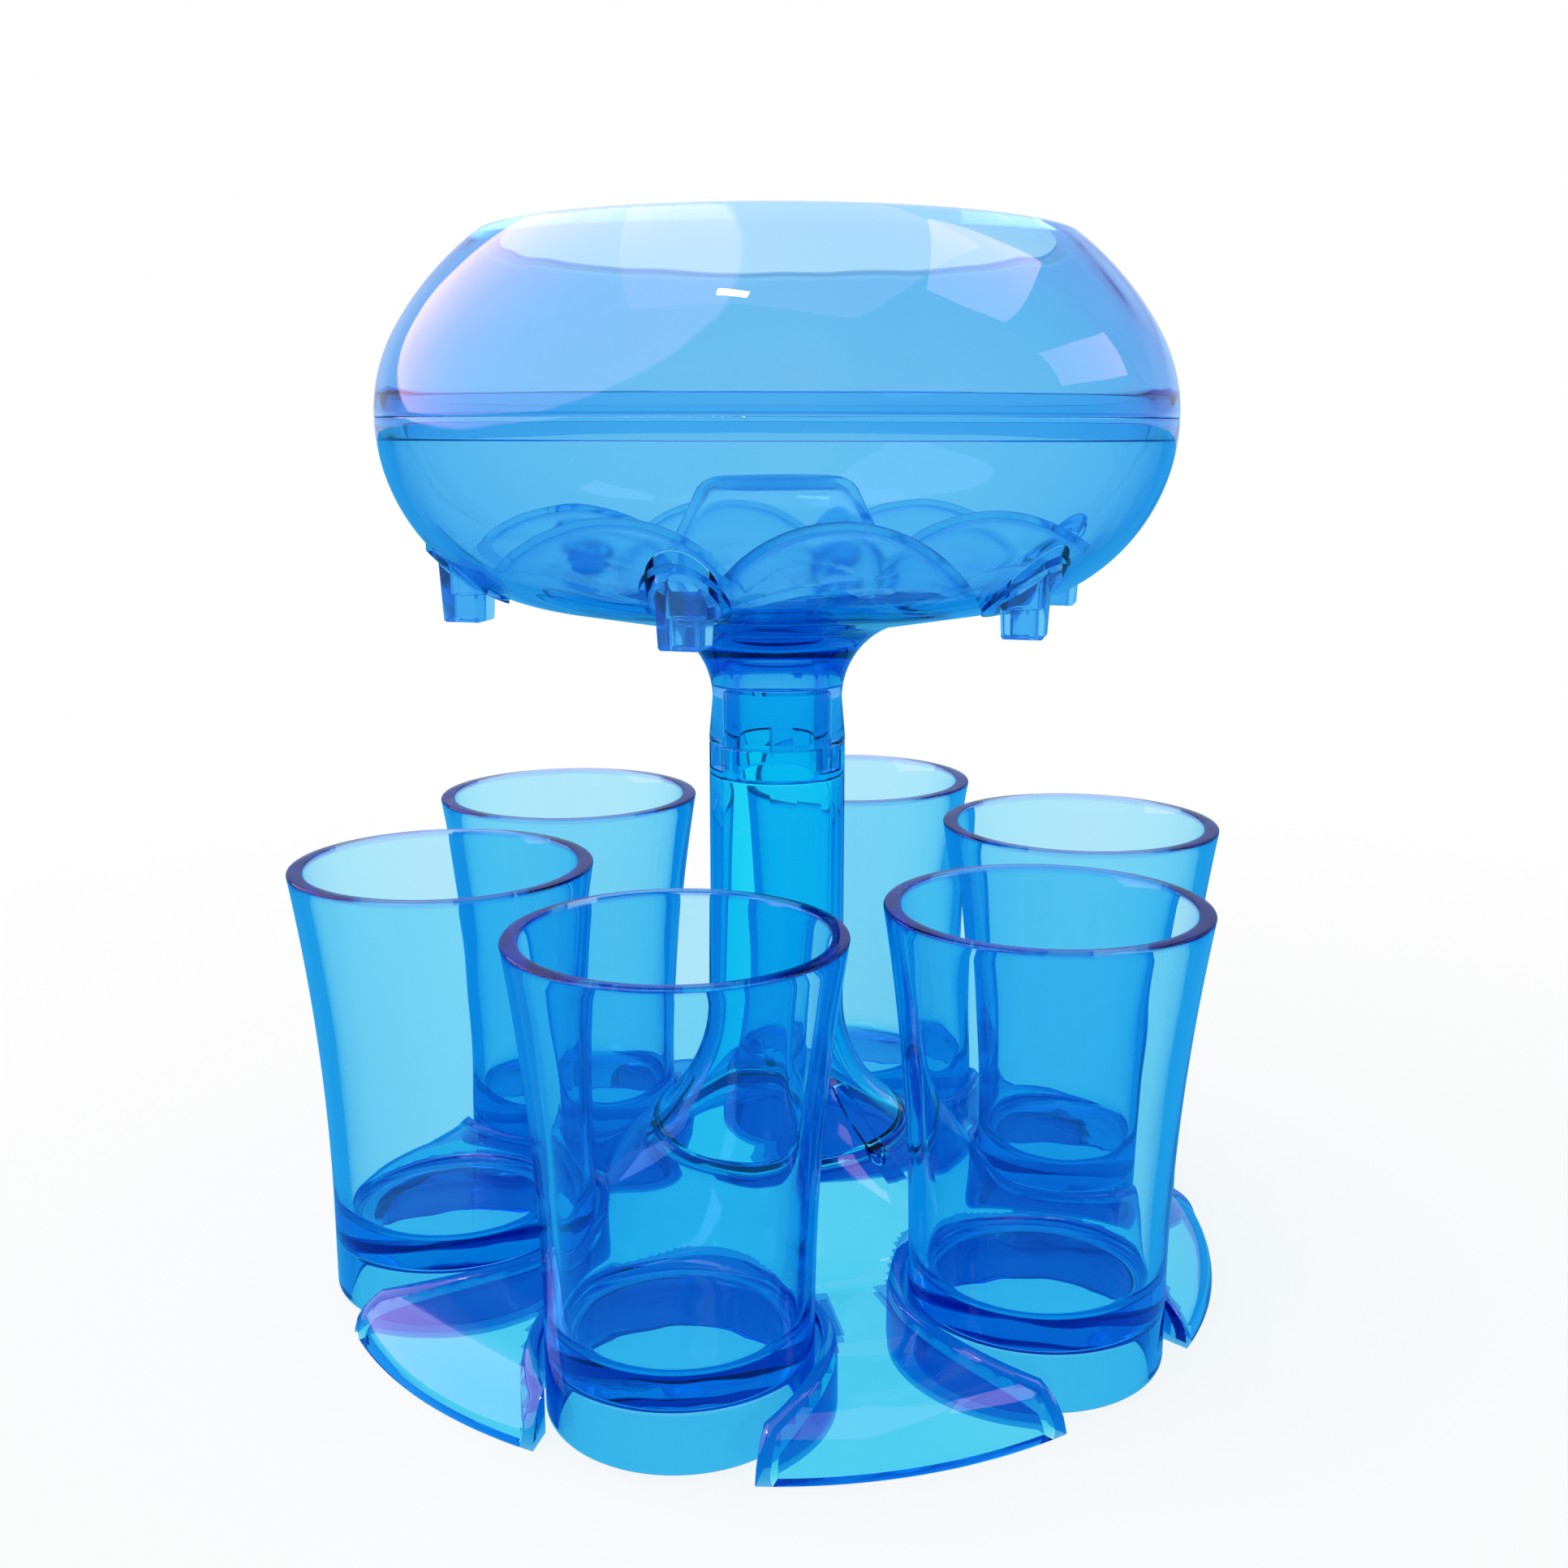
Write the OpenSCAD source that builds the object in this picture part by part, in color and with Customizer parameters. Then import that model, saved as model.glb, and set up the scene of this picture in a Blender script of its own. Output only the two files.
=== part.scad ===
// Party shot dispenser: a round bowl on a column pours through six spouts into six shot
// glasses, which stand in the notches of a petal-shaped base. All sizes are in millimetres.
// The origin is on the table under the column, +Z is up, and glass 1 stands towards -Y.

/* [Shot glasses] */
// Height of a glass
glass_h = 67.5; // [60:0.5:75]
// Outer radius of a glass at its foot
glass_foot_r = 18.6; // [17:0.1:19.5]
// Outer radius of a glass at its rim
glass_rim_r = 23; // [21:0.1:25]
// Height at which the glass starts to flare
glass_flare_z = 13.5; // [10:0.5:30]
// Wall of a glass
glass_wall = 2.4; // [1.8:0.1:3]
// Height of the glass's inner floor above the table
glass_floor_z = 12.8; // [11:0.1:16]
// Thickness of the glass's solid floor, over the recess in its foot
glass_slab = 4; // [2:0.1:6]
// Rounding of the glass's outer foot edge
glass_foot_round = 1.5; // [0.5:0.1:2]
// Rounding where the inner wall meets the inner floor
glass_inner_round = 3; // [1:0.1:5]
// Free space between the rims of neighbouring glasses
rim_gap = 7; // [5:0.5:12]

/* [Base] */
// How far the base reaches past the centres of the glasses
base_reach = 18.3; // [17:0.1:20]
// Wall of the base
base_wall = 2.2; // [1.6:0.1:2.6]
// Height of the flat deck between the glasses
deck_z = 9.7; // [8:0.1:12]
// Width of the rounded edge of the base, from the deck to the table
edge_w = 19.3; // [16:0.1:22]
// Radius of the fillet between the deck and the foot of the column
deck_fillet = 12; // [8:0.5:16]
// Gap between a glass and the wall of its notch
notch_gap = 0.9; // [0.5:0.1:1.8]
// How far each side of a notch's mouth closes in front of the glass
mouth_grip = 3.4; // [2:0.1:5]
// How far the notch walls stand above the deck as a bead
bead_h = 0.5; // [0.3:0.1:1]

/* [Column] */
// Height of the joint between column and neck
joint_z = 84; // [78:0.5:92]
// Outer radius of the column
col_r = 10.75; // [10:0.05:12]
// Wall of the column
col_wall = 2.1; // [1.6:0.1:2.4]
// Radius of the flare at the foot of the column
flare_r = 23; // [18:0.5:26]
// Height at which the flare begins
flare_z = 41.5; // [39:0.5:44]
// Slope of the base where the column meets it, in degrees
foot_slope = 40.4; // [36:0.2:44]
// Outer radius of the column's foot, where it sits in the base
foot_r = 21; // [20:0.1:22]
// Depth of the seat that the column's foot drops into
seat_depth = 2; // [1.5:0.1:2.5]
// Width of a locating tab on the column's foot
tab_w = 3; // [2:0.1:4]
// Length of a tab outside the foot
tab_l = 2; // [1.5:0.1:3]
// Thickness of a tab outside the foot, measured upright
tab_t = 1.6; // [1.2:0.1:1.8]
// Radius at which a tab begins on the flare
tab_in_r = 14; // [13:0.1:16]
// How far a tab stands out of the flare and of the base
tab_rise = 0.5; // [0.3:0.1:0.8]

/* [Neck joint] */
// Height of the sleeve that stands above the joint, inside the neck
sleeve_h = 9; // [6:0.5:11]
// Inner radius of the sleeve
sleeve_in_r = 6; // [5:0.1:6.6]
// How far the sleeve's thick root reaches below the lugs
sleeve_root = 1.5; // [1:0.1:4]
// Depth of the lugs below the joint
lug_h = 3.8; // [2:0.1:5]
// Width of a lug
lug_w = 4.8; // [3:0.1:6]
// Turn of the lugs from the line of the glasses, in degrees
lug_turn = 8; // [0:1:20]

/* [Bowl] */
// How far the bowl's widest line reaches past the centres of the glasses
bowl_reach = 7; // [5:0.5:9]
// Wall of the bowl
bowl_wall = 2.2; // [1.6:0.1:2.6]
// Height of the bowl's parting line above the neck joint
seam_rise = 49.8; // [47:0.1:53]
// Radius of the bowl's side below the parting line
belly_r = 28; // [26:0.5:30]
// Slope of the bowl's underside, in degrees
under_slope = 10.3; // [8:0.1:12]
// Narrowest outer radius of the neck
neck_r = 10.2; // [9.9:0.05:10.7]
// Radius of the fillet between the neck and the bowl
neck_fillet = 12.5; // [10:0.5:14]
// Height of the rim above the parting line
rim_rise = 26.2; // [24:0.1:28]
// Outer radius of the rim
rim_r = 44.6; // [43:0.1:46]
// Radius of the bowl's side just above the parting line
shoulder_r = 25; // [22:0.5:27]
// Height of the lap on each side of the parting line
lap_h = 2.8; // [2:0.1:4]
// Thickness of the upper half's lip over the lap
lip_t = 1; // [0.7:0.1:1.2]

/* [Spouts] */
// How far the spouts lie inside the centres of the glasses
spout_inset = 5.5; // [4:0.5:7]
// Radius of the spout's round shank
shank_r = 4.75; // [4.2:0.05:5]
// Width of the square nozzle at its outlet
nozzle_w = 5.8; // [5.4:0.1:6.2]
// Height of the nozzle's solid end, below the wider inlet
nozzle_h = 4; // [3:0.1:6]
// How far the nozzle's outlet lies below the bowl's skin
spout_drop = 6.2; // [5:0.1:8]
// Rounding of the nozzle's lower corners
nozzle_round = 1.2; // [0.5:0.1:1.5]
// Radius of the outlet bore
outlet_r = 1.9; // [1.5:0.05:2.3]
// Radius of the wider inlet
inlet_r = 2.4; // [2.35:0.05:2.6]
// Width of the raised collar round the shank
collar_w = 1.1; // [0.8:0.1:1.6]
// How far the collar stands out of the bowl's skin
collar_h = 0.7; // [0.4:0.1:1]

/* [Flow divider] */
// Distance of the lobes' centres inside the spouts
lobe_inset = 13.5; // [12:0.5:15]
// Space between the lobes and the spouts' holes
spout_room = 0.5; // [0.3:0.1:2]
// Height of the lobes' tops above the lowest part of the bowl's side
lobe_rise = 13.7; // [12:0.1:16]
// Radius of the hub in the middle
hub_r = 13; // [11:0.1:15]
// How far the hub stands above the lobes
hub_rise = 5; // [3:0.1:7]
// Rounding of the hub's top edge
hub_round = 4; // [3:0.1:6]
// Wall of the flow divider
divider_wall = 1.8; // [1.4:0.1:2.2]

/* [Clearances] */
// Clearance of the neck round the sleeve, and of the lugs in their slots
slide_gap = 0.2; // [0.15:0.01:0.3]
// Gap of parts that are pressed or bonded together
bond_gap = 0.1; // [0.05:0.01:0.15]

/* [Hidden] */
$fn = 96;
places = 6;
keys = 3;
pitch = 360 / places;
over = 1;
tall = 300;

// Radii of the circles that carry the glasses and the spouts
place_r = (2 * glass_rim_r + rim_gap) / (2 * sin(pitch / 2));
spout_r = place_r - spout_inset;
base_r = place_r + base_reach;
notch_r = glass_foot_r + notch_gap;
mouth_half = glass_foot_r - mouth_grip;

// Foot of the column: a quarter flare runs into a cone, and the cone into the deck
flare_turn = 90 - foot_slope;
flare_c = [col_r + flare_r, flare_z];
cone_top = flare_c - flare_r * [cos(flare_turn), sin(flare_turn)];
function cone_z(r) = cone_top[1] - (r - cone_top[0]) * tan(foot_slope);
cone_end_r = cone_top[0] + (cone_top[1] - deck_z) / tan(foot_slope);
fillet_c = [cone_end_r + deck_fillet * tan(foot_slope / 2), deck_z + deck_fillet];
seat_z = cone_z(foot_r) - seat_depth;
seat_r = foot_r + bond_gap;
foot_in_r = foot_r - 1.8;
ledge_t = 1.4;
edge_steps = 9;
arc_steps = 7;

// Neck joint
bore_r = col_r - col_wall;
sleeve_r = bore_r - slide_gap;
socket_r = sleeve_r + slide_gap;
socket_h = sleeve_h + 0.3;
lead_in = 0.6;
root_z = joint_z - lug_h - sleeve_root;

// Lower half of the bowl
bowl_r = place_r + bowl_reach;
seam_z = joint_z + seam_rise;
belly_c = [bowl_r - belly_r, seam_z];
belly_end = belly_c + belly_r * [sin(under_slope), -cos(under_slope)];
function under_z(r) = belly_end[1] - (belly_end[0] - r) * tan(under_slope);
neck_c = [neck_r + neck_fillet, under_z(neck_r + neck_fillet) - neck_fillet / cos(under_slope)];
function belly_z(r) = seam_z - sqrt(belly_r * belly_r - (r - belly_c[0]) * (r - belly_c[0]));
floor_drop = bowl_wall / cos(under_slope);
core_top_z = under_z(0) - 0.2;

// Upper half of the bowl: two arcs that run into each other, the second through the rim
shoulder_turn = 30;
shoulder_c = [bowl_r - shoulder_r, seam_z];
rim_out = rim_r - shoulder_c[0];
crown_more = (rim_out * rim_out + rim_rise * rim_rise - shoulder_r * shoulder_r)
    / (2 * (shoulder_r - rim_out * cos(shoulder_turn) - rim_rise * sin(shoulder_turn)));
crown_r = shoulder_r + crown_more;
crown_c = shoulder_c - crown_more * [cos(shoulder_turn), sin(shoulder_turn)];
rim_z = seam_z + rim_rise;
crown_rise = rim_z - crown_c[1];
lip_r = bowl_r - lip_t - 0.2;

// Spouts
outlet_z = belly_z(spout_r) - spout_drop;
inlet_z = outlet_z + nozzle_h;
nozzle_root = (shank_r - bond_gap) / sqrt(2);
nozzle_top = belly_z(spout_r + nozzle_root) - outlet_z;
hole_r = shank_r + bond_gap;

// Flow divider
lobe_place_r = spout_r - lobe_inset;
lobe_top_z = belly_end[1] + lobe_rise;
lobe_high = lobe_top_z - belly_z(spout_r - hole_r);
lobe_wide = norm([lobe_place_r * cos(pitch / 2) - spout_r, lobe_place_r * sin(pitch / 2)])
    - hole_r - spout_room;
lobe_r = (lobe_wide * lobe_wide + lobe_high * lobe_high) / (2 * lobe_high);
lobe_z = lobe_top_z - lobe_r;
hub_z = lobe_top_z + hub_rise;
hub_draft = 25;

// Points along an arc in the upright plane, from angle a0 to angle a1
function arc(c, r, a0, a1, n) =
    [for (i = [0:n]) let (a = a0 + (a1 - a0) * i / n) c + r * [cos(a), sin(a)]];

// Points along the rounded edge of the base, set back by the given wall
function edge(wall) = [
    for (i = [0:edge_steps])
        let (
            a = 90 * i / edge_steps,
            away = [deck_z * sin(a), edge_w * cos(a)]
        )
        [base_r - edge_w + edge_w * sin(a), deck_z * cos(a)] - wall * away / norm(away)
];

// Points along the top of the base, from the column's seat to the table, set back by wall
function deck(wall) = concat(
    [[seat_r, cone_z(seat_r) - wall / cos(foot_slope)]],
    arc(fillet_c, deck_fillet + wall, -90 - foot_slope, -90, arc_steps),
    edge(wall)
);

// Outer radius of a glass at a height: straight at the foot, then an even flare
function glass_r(z) =
    let (t = max(0, (z - glass_flare_z) / (glass_h - glass_flare_z)))
    glass_foot_r + (glass_rim_r - glass_foot_r) * t * t;

function reversed(list) = [for (i = [len(list) - 1:-1:0]) list[i]];

module turned(points) {
    rotate_extrude()
        polygon(points);
}

module at_place(i) {
    rotate([0, 0, (i - 1) * pitch])
        children();
}

module at_places() {
    for (i = [1:places])
        at_place(i)
            children();
}

// Outline of a notch: the glass's circle and a straight mouth, widened by extra
module notch_outline(extra = 0) {
    translate([0, -place_r])
        circle(r = notch_r + extra);
    translate([-mouth_half - extra, -place_r - base_r])
        square([2 * (mouth_half + extra), base_r]);
}

module notch_walls() {
    intersection() {
        at_places()
            linear_extrude(tall)
                difference() {
                    notch_outline(base_wall);
                    notch_outline();
                }
        translate([0, 0, bead_h])
            turned(concat([[0, -bead_h]], [[0, cone_z(seat_r)]], deck(0), [[base_r, -bead_h]]));
    }
}

// Outline of a locating tab, with a round outer end
module tab_outline(extra = 0) {
    reach = foot_r + tab_l - tab_w / 2;
    translate([-tab_w / 2 - extra, -reach])
        square([tab_w + 2 * extra, reach - tab_in_r]);
    translate([0, -reach])
        circle(r = tab_w / 2 + extra);
}

// The tabs run down the flare and past the foot, where they are sunk into the base
module tabs(extra = 0) {
    outer = foot_r + tab_l + over;
    start = 180 + acos((flare_c[0] - tab_in_r + over) / flare_r);
    intersection() {
        for (i = [1:keys])
            rotate([0, 0, (2 * i - 1) * pitch])
                linear_extrude(tall)
                    tab_outline(extra);
        turned(concat(
            arc(flare_c, flare_r - tab_rise, start, 180 + flare_turn, arc_steps),
            [[outer, cone_z(outer) + tab_rise / cos(foot_slope)], [outer, cone_z(outer) - tab_t]],
            [[foot_r - over, cone_z(foot_r - over) - tab_t]],
            arc(flare_c, flare_r + col_wall / 2, 180 + flare_turn, start, arc_steps)
        ));
    }
}

module base_tray() {
    color("deepskyblue", 0.6)
        difference() {
            union() {
                turned(concat(deck(0), reversed(deck(base_wall))));
                turned([
                    [foot_in_r, seat_z - ledge_t],
                    [seat_r + over, seat_z - ledge_t],
                    [seat_r + over, seat_z],
                    [foot_in_r, seat_z]
                ]);
                notch_walls();
            }
            at_places()
                translate([0, 0, -over])
                    linear_extrude(tall)
                        notch_outline();
            tabs(bond_gap);
        }
}

module column() {
    inner_turn = acos((flare_c[0] - foot_in_r) / (flare_r + col_wall));
    color("dodgerblue", 0.6)
        union() {
            difference() {
                turned(concat(
                    [[sleeve_r - lead_in, joint_z + sleeve_h], [sleeve_r, joint_z + sleeve_h - lead_in]],
                    [[sleeve_r, joint_z], [col_r, joint_z]],
                    arc(flare_c, flare_r, 180, 180 + flare_turn, arc_steps),
                    [[foot_r, cone_z(foot_r)], [foot_r, seat_z], [foot_in_r, seat_z]],
                    arc(flare_c, flare_r + col_wall, 180 + inner_turn, 180, arc_steps),
                    [[bore_r, root_z], [sleeve_in_r, root_z]],
                    [[sleeve_in_r, joint_z + sleeve_h]]
                ));
                lug_bars(sleeve_r + bond_gap, col_r + over, slide_gap);
            }
            tabs();
        }
}

// Upright bars between two radii: the lugs, or the wider and deeper slots that take them
module lug_bars(inner, outer, extra = 0) {
    for (i = [1:keys])
        rotate([0, 0, (2 * i - 1) * pitch + lug_turn])
            translate([0, 0, joint_z - lug_h - extra])
                linear_extrude(lug_h + extra + over / 2)
                    intersection() {
                        difference() {
                            circle(r = outer);
                            circle(r = inner);
                        }
                        translate([-lug_w / 2 - extra, -2 * outer])
                            square([lug_w + 2 * extra, 2 * outer]);
                    }
}

// Space inside the lower half of the bowl, set in by a gap
module bowl_space(gap = 0) {
    drop = floor_drop + gap / cos(under_slope);
    turned(concat(
        [[0, under_z(0) + drop]],
        arc(belly_c, belly_r - bowl_wall - gap, under_slope - 90, 0, 2 * arc_steps),
        [[bowl_r - bowl_wall - gap, seam_z + tall], [0, seam_z + tall]]
    ));
}

// Thick shell below the parting line, from inside the bowl to outside its skin
module belly_shell(outside) {
    turned(concat(
        arc(belly_c, belly_r + outside, under_slope - 90, 0, 2 * arc_steps),
        arc(belly_c, belly_r - 2 * bowl_wall, 0, under_slope - 90, 2 * arc_steps)
    ));
}

// Rings on the bowl's skin round the spouts
module spout_collars() {
    intersection() {
        at_places()
            translate([0, -spout_r, 0])
                cylinder(r = hole_r + collar_w, h = seam_z);
        belly_shell(collar_h);
    }
}

module bowl_lower() {
    band_in = bowl_r - bowl_wall - lip_t + 0.2;
    color("deepskyblue", 0.5)
        union() {
            difference() {
                union() {
                    turned(concat(
                        [[0, joint_z], [col_r, joint_z], [col_r, joint_z + over]],
                        arc(neck_c, neck_fillet, 180, 90 + under_slope, arc_steps),
                        arc(belly_c, belly_r, under_slope - 90, 0, 2 * arc_steps),
                        [[0, seam_z]]
                    ));
                    spout_collars();
                }
                bowl_space();
                translate([0, 0, joint_z - over])
                    cylinder(r = socket_r, h = socket_h + over);
                cylinder(r = sleeve_in_r, h = core_top_z);
                at_places()
                    translate([0, -spout_r, 0])
                        cylinder(r = hole_r, h = seam_z);
            }
            lug_bars(socket_r + bond_gap, col_r - bond_gap);
            turned([
                [band_in, seam_z - lap_h],
                [lip_r - bond_gap, seam_z - lap_h],
                [lip_r - bond_gap, seam_z + lap_h],
                [band_in, seam_z + lap_h]
            ]);
        }
}

module bowl_upper() {
    inner_r = crown_r - bowl_wall;
    color("lightskyblue", 0.5)
        difference() {
            turned(concat(
                arc(shoulder_c, shoulder_r, 0, shoulder_turn, arc_steps),
                arc(crown_c, crown_r, shoulder_turn, asin(crown_rise / crown_r), arc_steps),
                arc(crown_c, inner_r, asin(crown_rise / inner_r), shoulder_turn, arc_steps),
                arc(shoulder_c, shoulder_r - bowl_wall, shoulder_turn, 0, arc_steps)
            ));
            translate([0, 0, seam_z - over])
                cylinder(r = lip_r, h = over + lap_h + bond_gap);
        }
}

// A round shank fills the hole in the bowl, and a square nozzle hangs below it. The nozzles
// all face the same way, whatever the place of their spout.
module spout(i) {
    color("dodgerblue", 0.7)
        at_place(i)
            difference() {
                union() {
                    intersection() {
                        translate([0, -spout_r, 0])
                            cylinder(r = shank_r, h = seam_z);
                        belly_shell(collar_h);
                    }
                    translate([0, -spout_r, outlet_z])
                        rotate([0, 0, -(i - 1) * pitch])
                            nozzle();
                }
                bowl_space();
                translate([0, -spout_r, outlet_z - over])
                    cylinder(r = outlet_r, h = seam_z - outlet_z);
                translate([0, -spout_r, inlet_z])
                    cylinder(r = inlet_r, h = seam_z - inlet_z);
            }
}

// Square nozzle that widens upwards, rounded along its four lower edges
module nozzle() {
    intersection() {
        nozzle_bar();
        rotate([0, 0, 90])
            nozzle_bar();
    }
}

module nozzle_bar() {
    half = nozzle_w / 2;
    length = 2 * (nozzle_root + over);
    outline = concat(
        arc([half - nozzle_round, nozzle_round], nozzle_round, -90, 0, arc_steps),
        [[nozzle_root, nozzle_top], [-nozzle_root, nozzle_top]],
        arc([nozzle_round - half, nozzle_round], nozzle_round, 180, 270, arc_steps)
    );
    translate([0, length / 2, 0])
        rotate([90, 0, 0])
            linear_extrude(length)
                polygon(outline);
}

// Solid outline of the divider's hub, set in by a wall
module hub(wall = 0) {
    c = [hub_r - hub_round, hub_z - hub_round];
    edge_pts = arc(c, hub_round - wall, hub_draft, 90, arc_steps);
    low = [edge_pts[0][0] + (edge_pts[0][1] - belly_end[1]) * tan(hub_draft), belly_end[1]];
    turned(concat([[0, belly_end[1] - bowl_wall]], [[low[0], belly_end[1] - bowl_wall]],
        [low], edge_pts, [[0, hub_z - wall]]));
}

module lobes(wall = 0) {
    at_places()
        rotate([0, 0, pitch / 2])
            translate([0, -lobe_place_r, lobe_z])
                sphere(r = lobe_r - wall);
}

module flow_divider() {
    color("royalblue", 0.6)
        intersection() {
            difference() {
                union() {
                    hub();
                    lobes();
                }
                hub(divider_wall);
                lobes(divider_wall);
            }
            bowl_space(bond_gap);
        }
}

module glass(i) {
    steps = 14;
    foot_in = glass_foot_r - glass_wall;
    floor_c = [glass_r(glass_floor_z) - glass_wall - glass_inner_round, glass_floor_z + glass_inner_round];
    wall_z = [for (k = [0:steps]) glass_flare_z + (glass_h - glass_flare_z) * k / steps];
    inner_z = [for (z = reversed(wall_z)) if (z > floor_c[1] + over) z];
    color("deepskyblue", 0.5)
        at_place(i)
            translate([0, -place_r, 0])
                turned(concat(
                    [[foot_in, 0]],
                    arc([glass_foot_r - glass_foot_round, glass_foot_round], glass_foot_round,
                        -90, 0, arc_steps),
                    [for (z = wall_z) [glass_r(z), z]],
                    [for (z = inner_z) [glass_r(z) - glass_wall, z]],
                    arc(floor_c, glass_inner_round, 0, -90, arc_steps),
                    [[0, glass_floor_z], [0, glass_floor_z - glass_slab]],
                    [[foot_in, glass_floor_z - glass_slab]]
                ));
}

base_tray();
column();
bowl_lower();
bowl_upper();
flow_divider();
for (i = [1:places])
    spout(i);
for (i = [1:places])
    glass(i);
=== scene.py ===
import math

import bmesh
import bpy
from mathutils import Matrix, Vector


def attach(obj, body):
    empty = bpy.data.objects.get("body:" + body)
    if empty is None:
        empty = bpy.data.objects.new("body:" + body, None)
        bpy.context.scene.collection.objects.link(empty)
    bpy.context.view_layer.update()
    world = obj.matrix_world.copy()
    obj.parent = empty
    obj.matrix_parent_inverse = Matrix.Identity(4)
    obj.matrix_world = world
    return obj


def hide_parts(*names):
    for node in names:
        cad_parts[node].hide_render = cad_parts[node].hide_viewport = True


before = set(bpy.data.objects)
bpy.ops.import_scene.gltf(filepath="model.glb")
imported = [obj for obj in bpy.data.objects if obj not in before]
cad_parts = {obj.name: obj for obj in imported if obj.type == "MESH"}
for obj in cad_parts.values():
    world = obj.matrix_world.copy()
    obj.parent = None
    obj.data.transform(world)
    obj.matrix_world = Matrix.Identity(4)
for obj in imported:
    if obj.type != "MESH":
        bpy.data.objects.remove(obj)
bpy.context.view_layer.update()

# Every length below is in millimetres, as in the part's source, and MM brings it to metres.
MM = 0.001
# Steps of a full turn in a revolved solid, unless it asks for more
TURNS = 160
# Glasses, notches and spouts go round the axis in this many places
PLACES = 6
PITCH = math.radians(360 / PLACES)

# Clearances between pieces that slide, and between pieces that are glued or keyed
SLIDE_GAP = 0.2
BOND_GAP = 0.1

# Small roundings: of seats and laps, of rings, of bores, of rims, of the sleeve's root, of recesses
SEAT_ROUND = 0.2
RING_ROUND = 0.25
BORE_ROUND = 0.3
RIM_ROUND = 0.4
ROOT_ROUND = 0.5
RECESS_ROUND = 0.8

# Shot glasses: height, radius at the foot and at the rim, and height at which the flare starts
GLASS_H = 67.5
GLASS_FOOT_R = 18.6
GLASS_RIM_R = 23.0
GLASS_FLARE_Z = 13.5
# Their wall, the height of the inner floor, and the thickness of the solid floor over the recess
GLASS_WALL = 2.4
GLASS_FLOOR_Z = 12.8
GLASS_SLAB = 4.0
GLASS_FOOT_ROUND = 1.5
GLASS_INNER_ROUND = 3.0
# Free space between neighbouring rims, which sets the radius of the ring of glasses
RIM_GAP = 7.0
PLACE_R = (2 * GLASS_RIM_R + RIM_GAP) / (2 * math.sin(PITCH / 2))

# Base: outer radius, wall, height of the flat deck, width of the rounded edge, fillet to the column
BASE_R = PLACE_R + 18.3
BASE_WALL = 2.2
DECK_Z = 9.7
EDGE_W = 19.3
DECK_FILLET = 12.0
# Notches: radius, half the width of the mouth, and how far their walls stand above the deck
NOTCH_R = GLASS_FOOT_R + 0.9
MOUTH_HALF = GLASS_FOOT_R - 3.4
BEAD_H = 0.5
# Heights that are clear of the base, for the solids that cut it
UNDER_TABLE_Z = -5
OVER_DECK_Z = 40
OVER_BASE_Z = 60

# Column: height of the joint with the neck, radius, wall, and radius and height of the flare
JOINT_Z = 84.0
COL_R = 10.75
COL_WALL = 2.1
FLARE_R = 23.0
FLARE_Z = 41.5
# Its foot: slope of the cone, outer and inner radius, and depth of its seat in the base
FOOT_SLOPE = math.radians(40.4)
FOOT_R = 21.0
FOOT_IN_R = FOOT_R - 1.8
SEAT_DEPTH = 2.0
# The ledge under the seat: its thickness, and how far it runs out past the seat
LEDGE_T = 1.4
LEDGE_PAST_SEAT = 1.3
# Locating tabs: width, length past the foot, thickness, start on the flare, and rise over it
TAB_W = 3.0
TAB_L = 2.0
TAB_T = 1.6
TAB_IN_R = 14.0
TAB_RISE = 0.5
# How far a tab's slot is cut past its top, and the bit by which a tab is thinner than its slot
OVER_TAB = 5
TAB_LESS = 0.02

# Neck joint: sleeve above the joint, its bore, chamfer and root, and the lugs and their turn
SLEEVE_H = 9.0
SLEEVE_IN_R = 6.0
SLEEVE_CHAMFER = 0.6
SLEEVE_ROOT = 1.5
SLEEVE_ROOM = 0.3
LUG_H = 3.8
LUG_W = 4.8
LUG_TURN = math.radians(8)
BORE_R = COL_R - COL_WALL
SLEEVE_R = BORE_R - SLIDE_GAP

# Bowl: widest radius, wall, height of the parting line, and radius of the side below it
BOWL_R = PLACE_R + 7
BOWL_WALL = 2.2
SEAM_Z = JOINT_Z + 49.8
BELLY_R = 28.0
# Its underside and neck: slope, narrowest radius, fillet, height of the ring over the joint, and
# how far the core of the neck ends under the skin
UNDER_SLOPE = math.radians(10.3)
NECK_R = 10.2
NECK_FILLET = 12.5
NECK_RING_H = 1
CORE_UNDER_SKIN = 0.2
# Its upper half: rise and radius of the rim, and radius and turn of the side next to the seam
RIM_RISE = 26.2
RIM_R = 44.6
SHOULDER_R = 25.0
SHOULDER_TURN = math.radians(30)
# The lap at the parting line: its height, the radius and foot of the upper half's lip, and how far
# out the lower half's band is set
LAP_H = 2.8
LIP_R = BOWL_R - 1.2
LIP_FOOT = 1.0
BAND_OUT = 0.1

# Spouts: radius of their ring, shank, width and height of the nozzle, and drop below the skin
SPOUT_R = PLACE_R - 5.5
SHANK_R = 4.75
NOZZLE_W = 5.8
NOZZLE_H = 4.0
SPOUT_DROP = 6.2
NOZZLE_EDGE_ROUND = 0.5
NOZZLE_END_ROUND = 0.8
# Their bore at the outlet and inlet, and the collar round the shank
OUTLET_R = 1.9
INLET_R = 2.4
COLLAR_W = 1.1
COLLAR_H = 0.7
HOLE_R = SHANK_R + BOND_GAP
NOZZLE_ROOT = (SHANK_R - BOND_GAP) / math.sqrt(2)
# A height that is under the bowl's skin at every spout, and how deep the collars sink into the wall
UNDER_SKIN_Z = 90
COLLAR_SINK = 0.4

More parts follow.
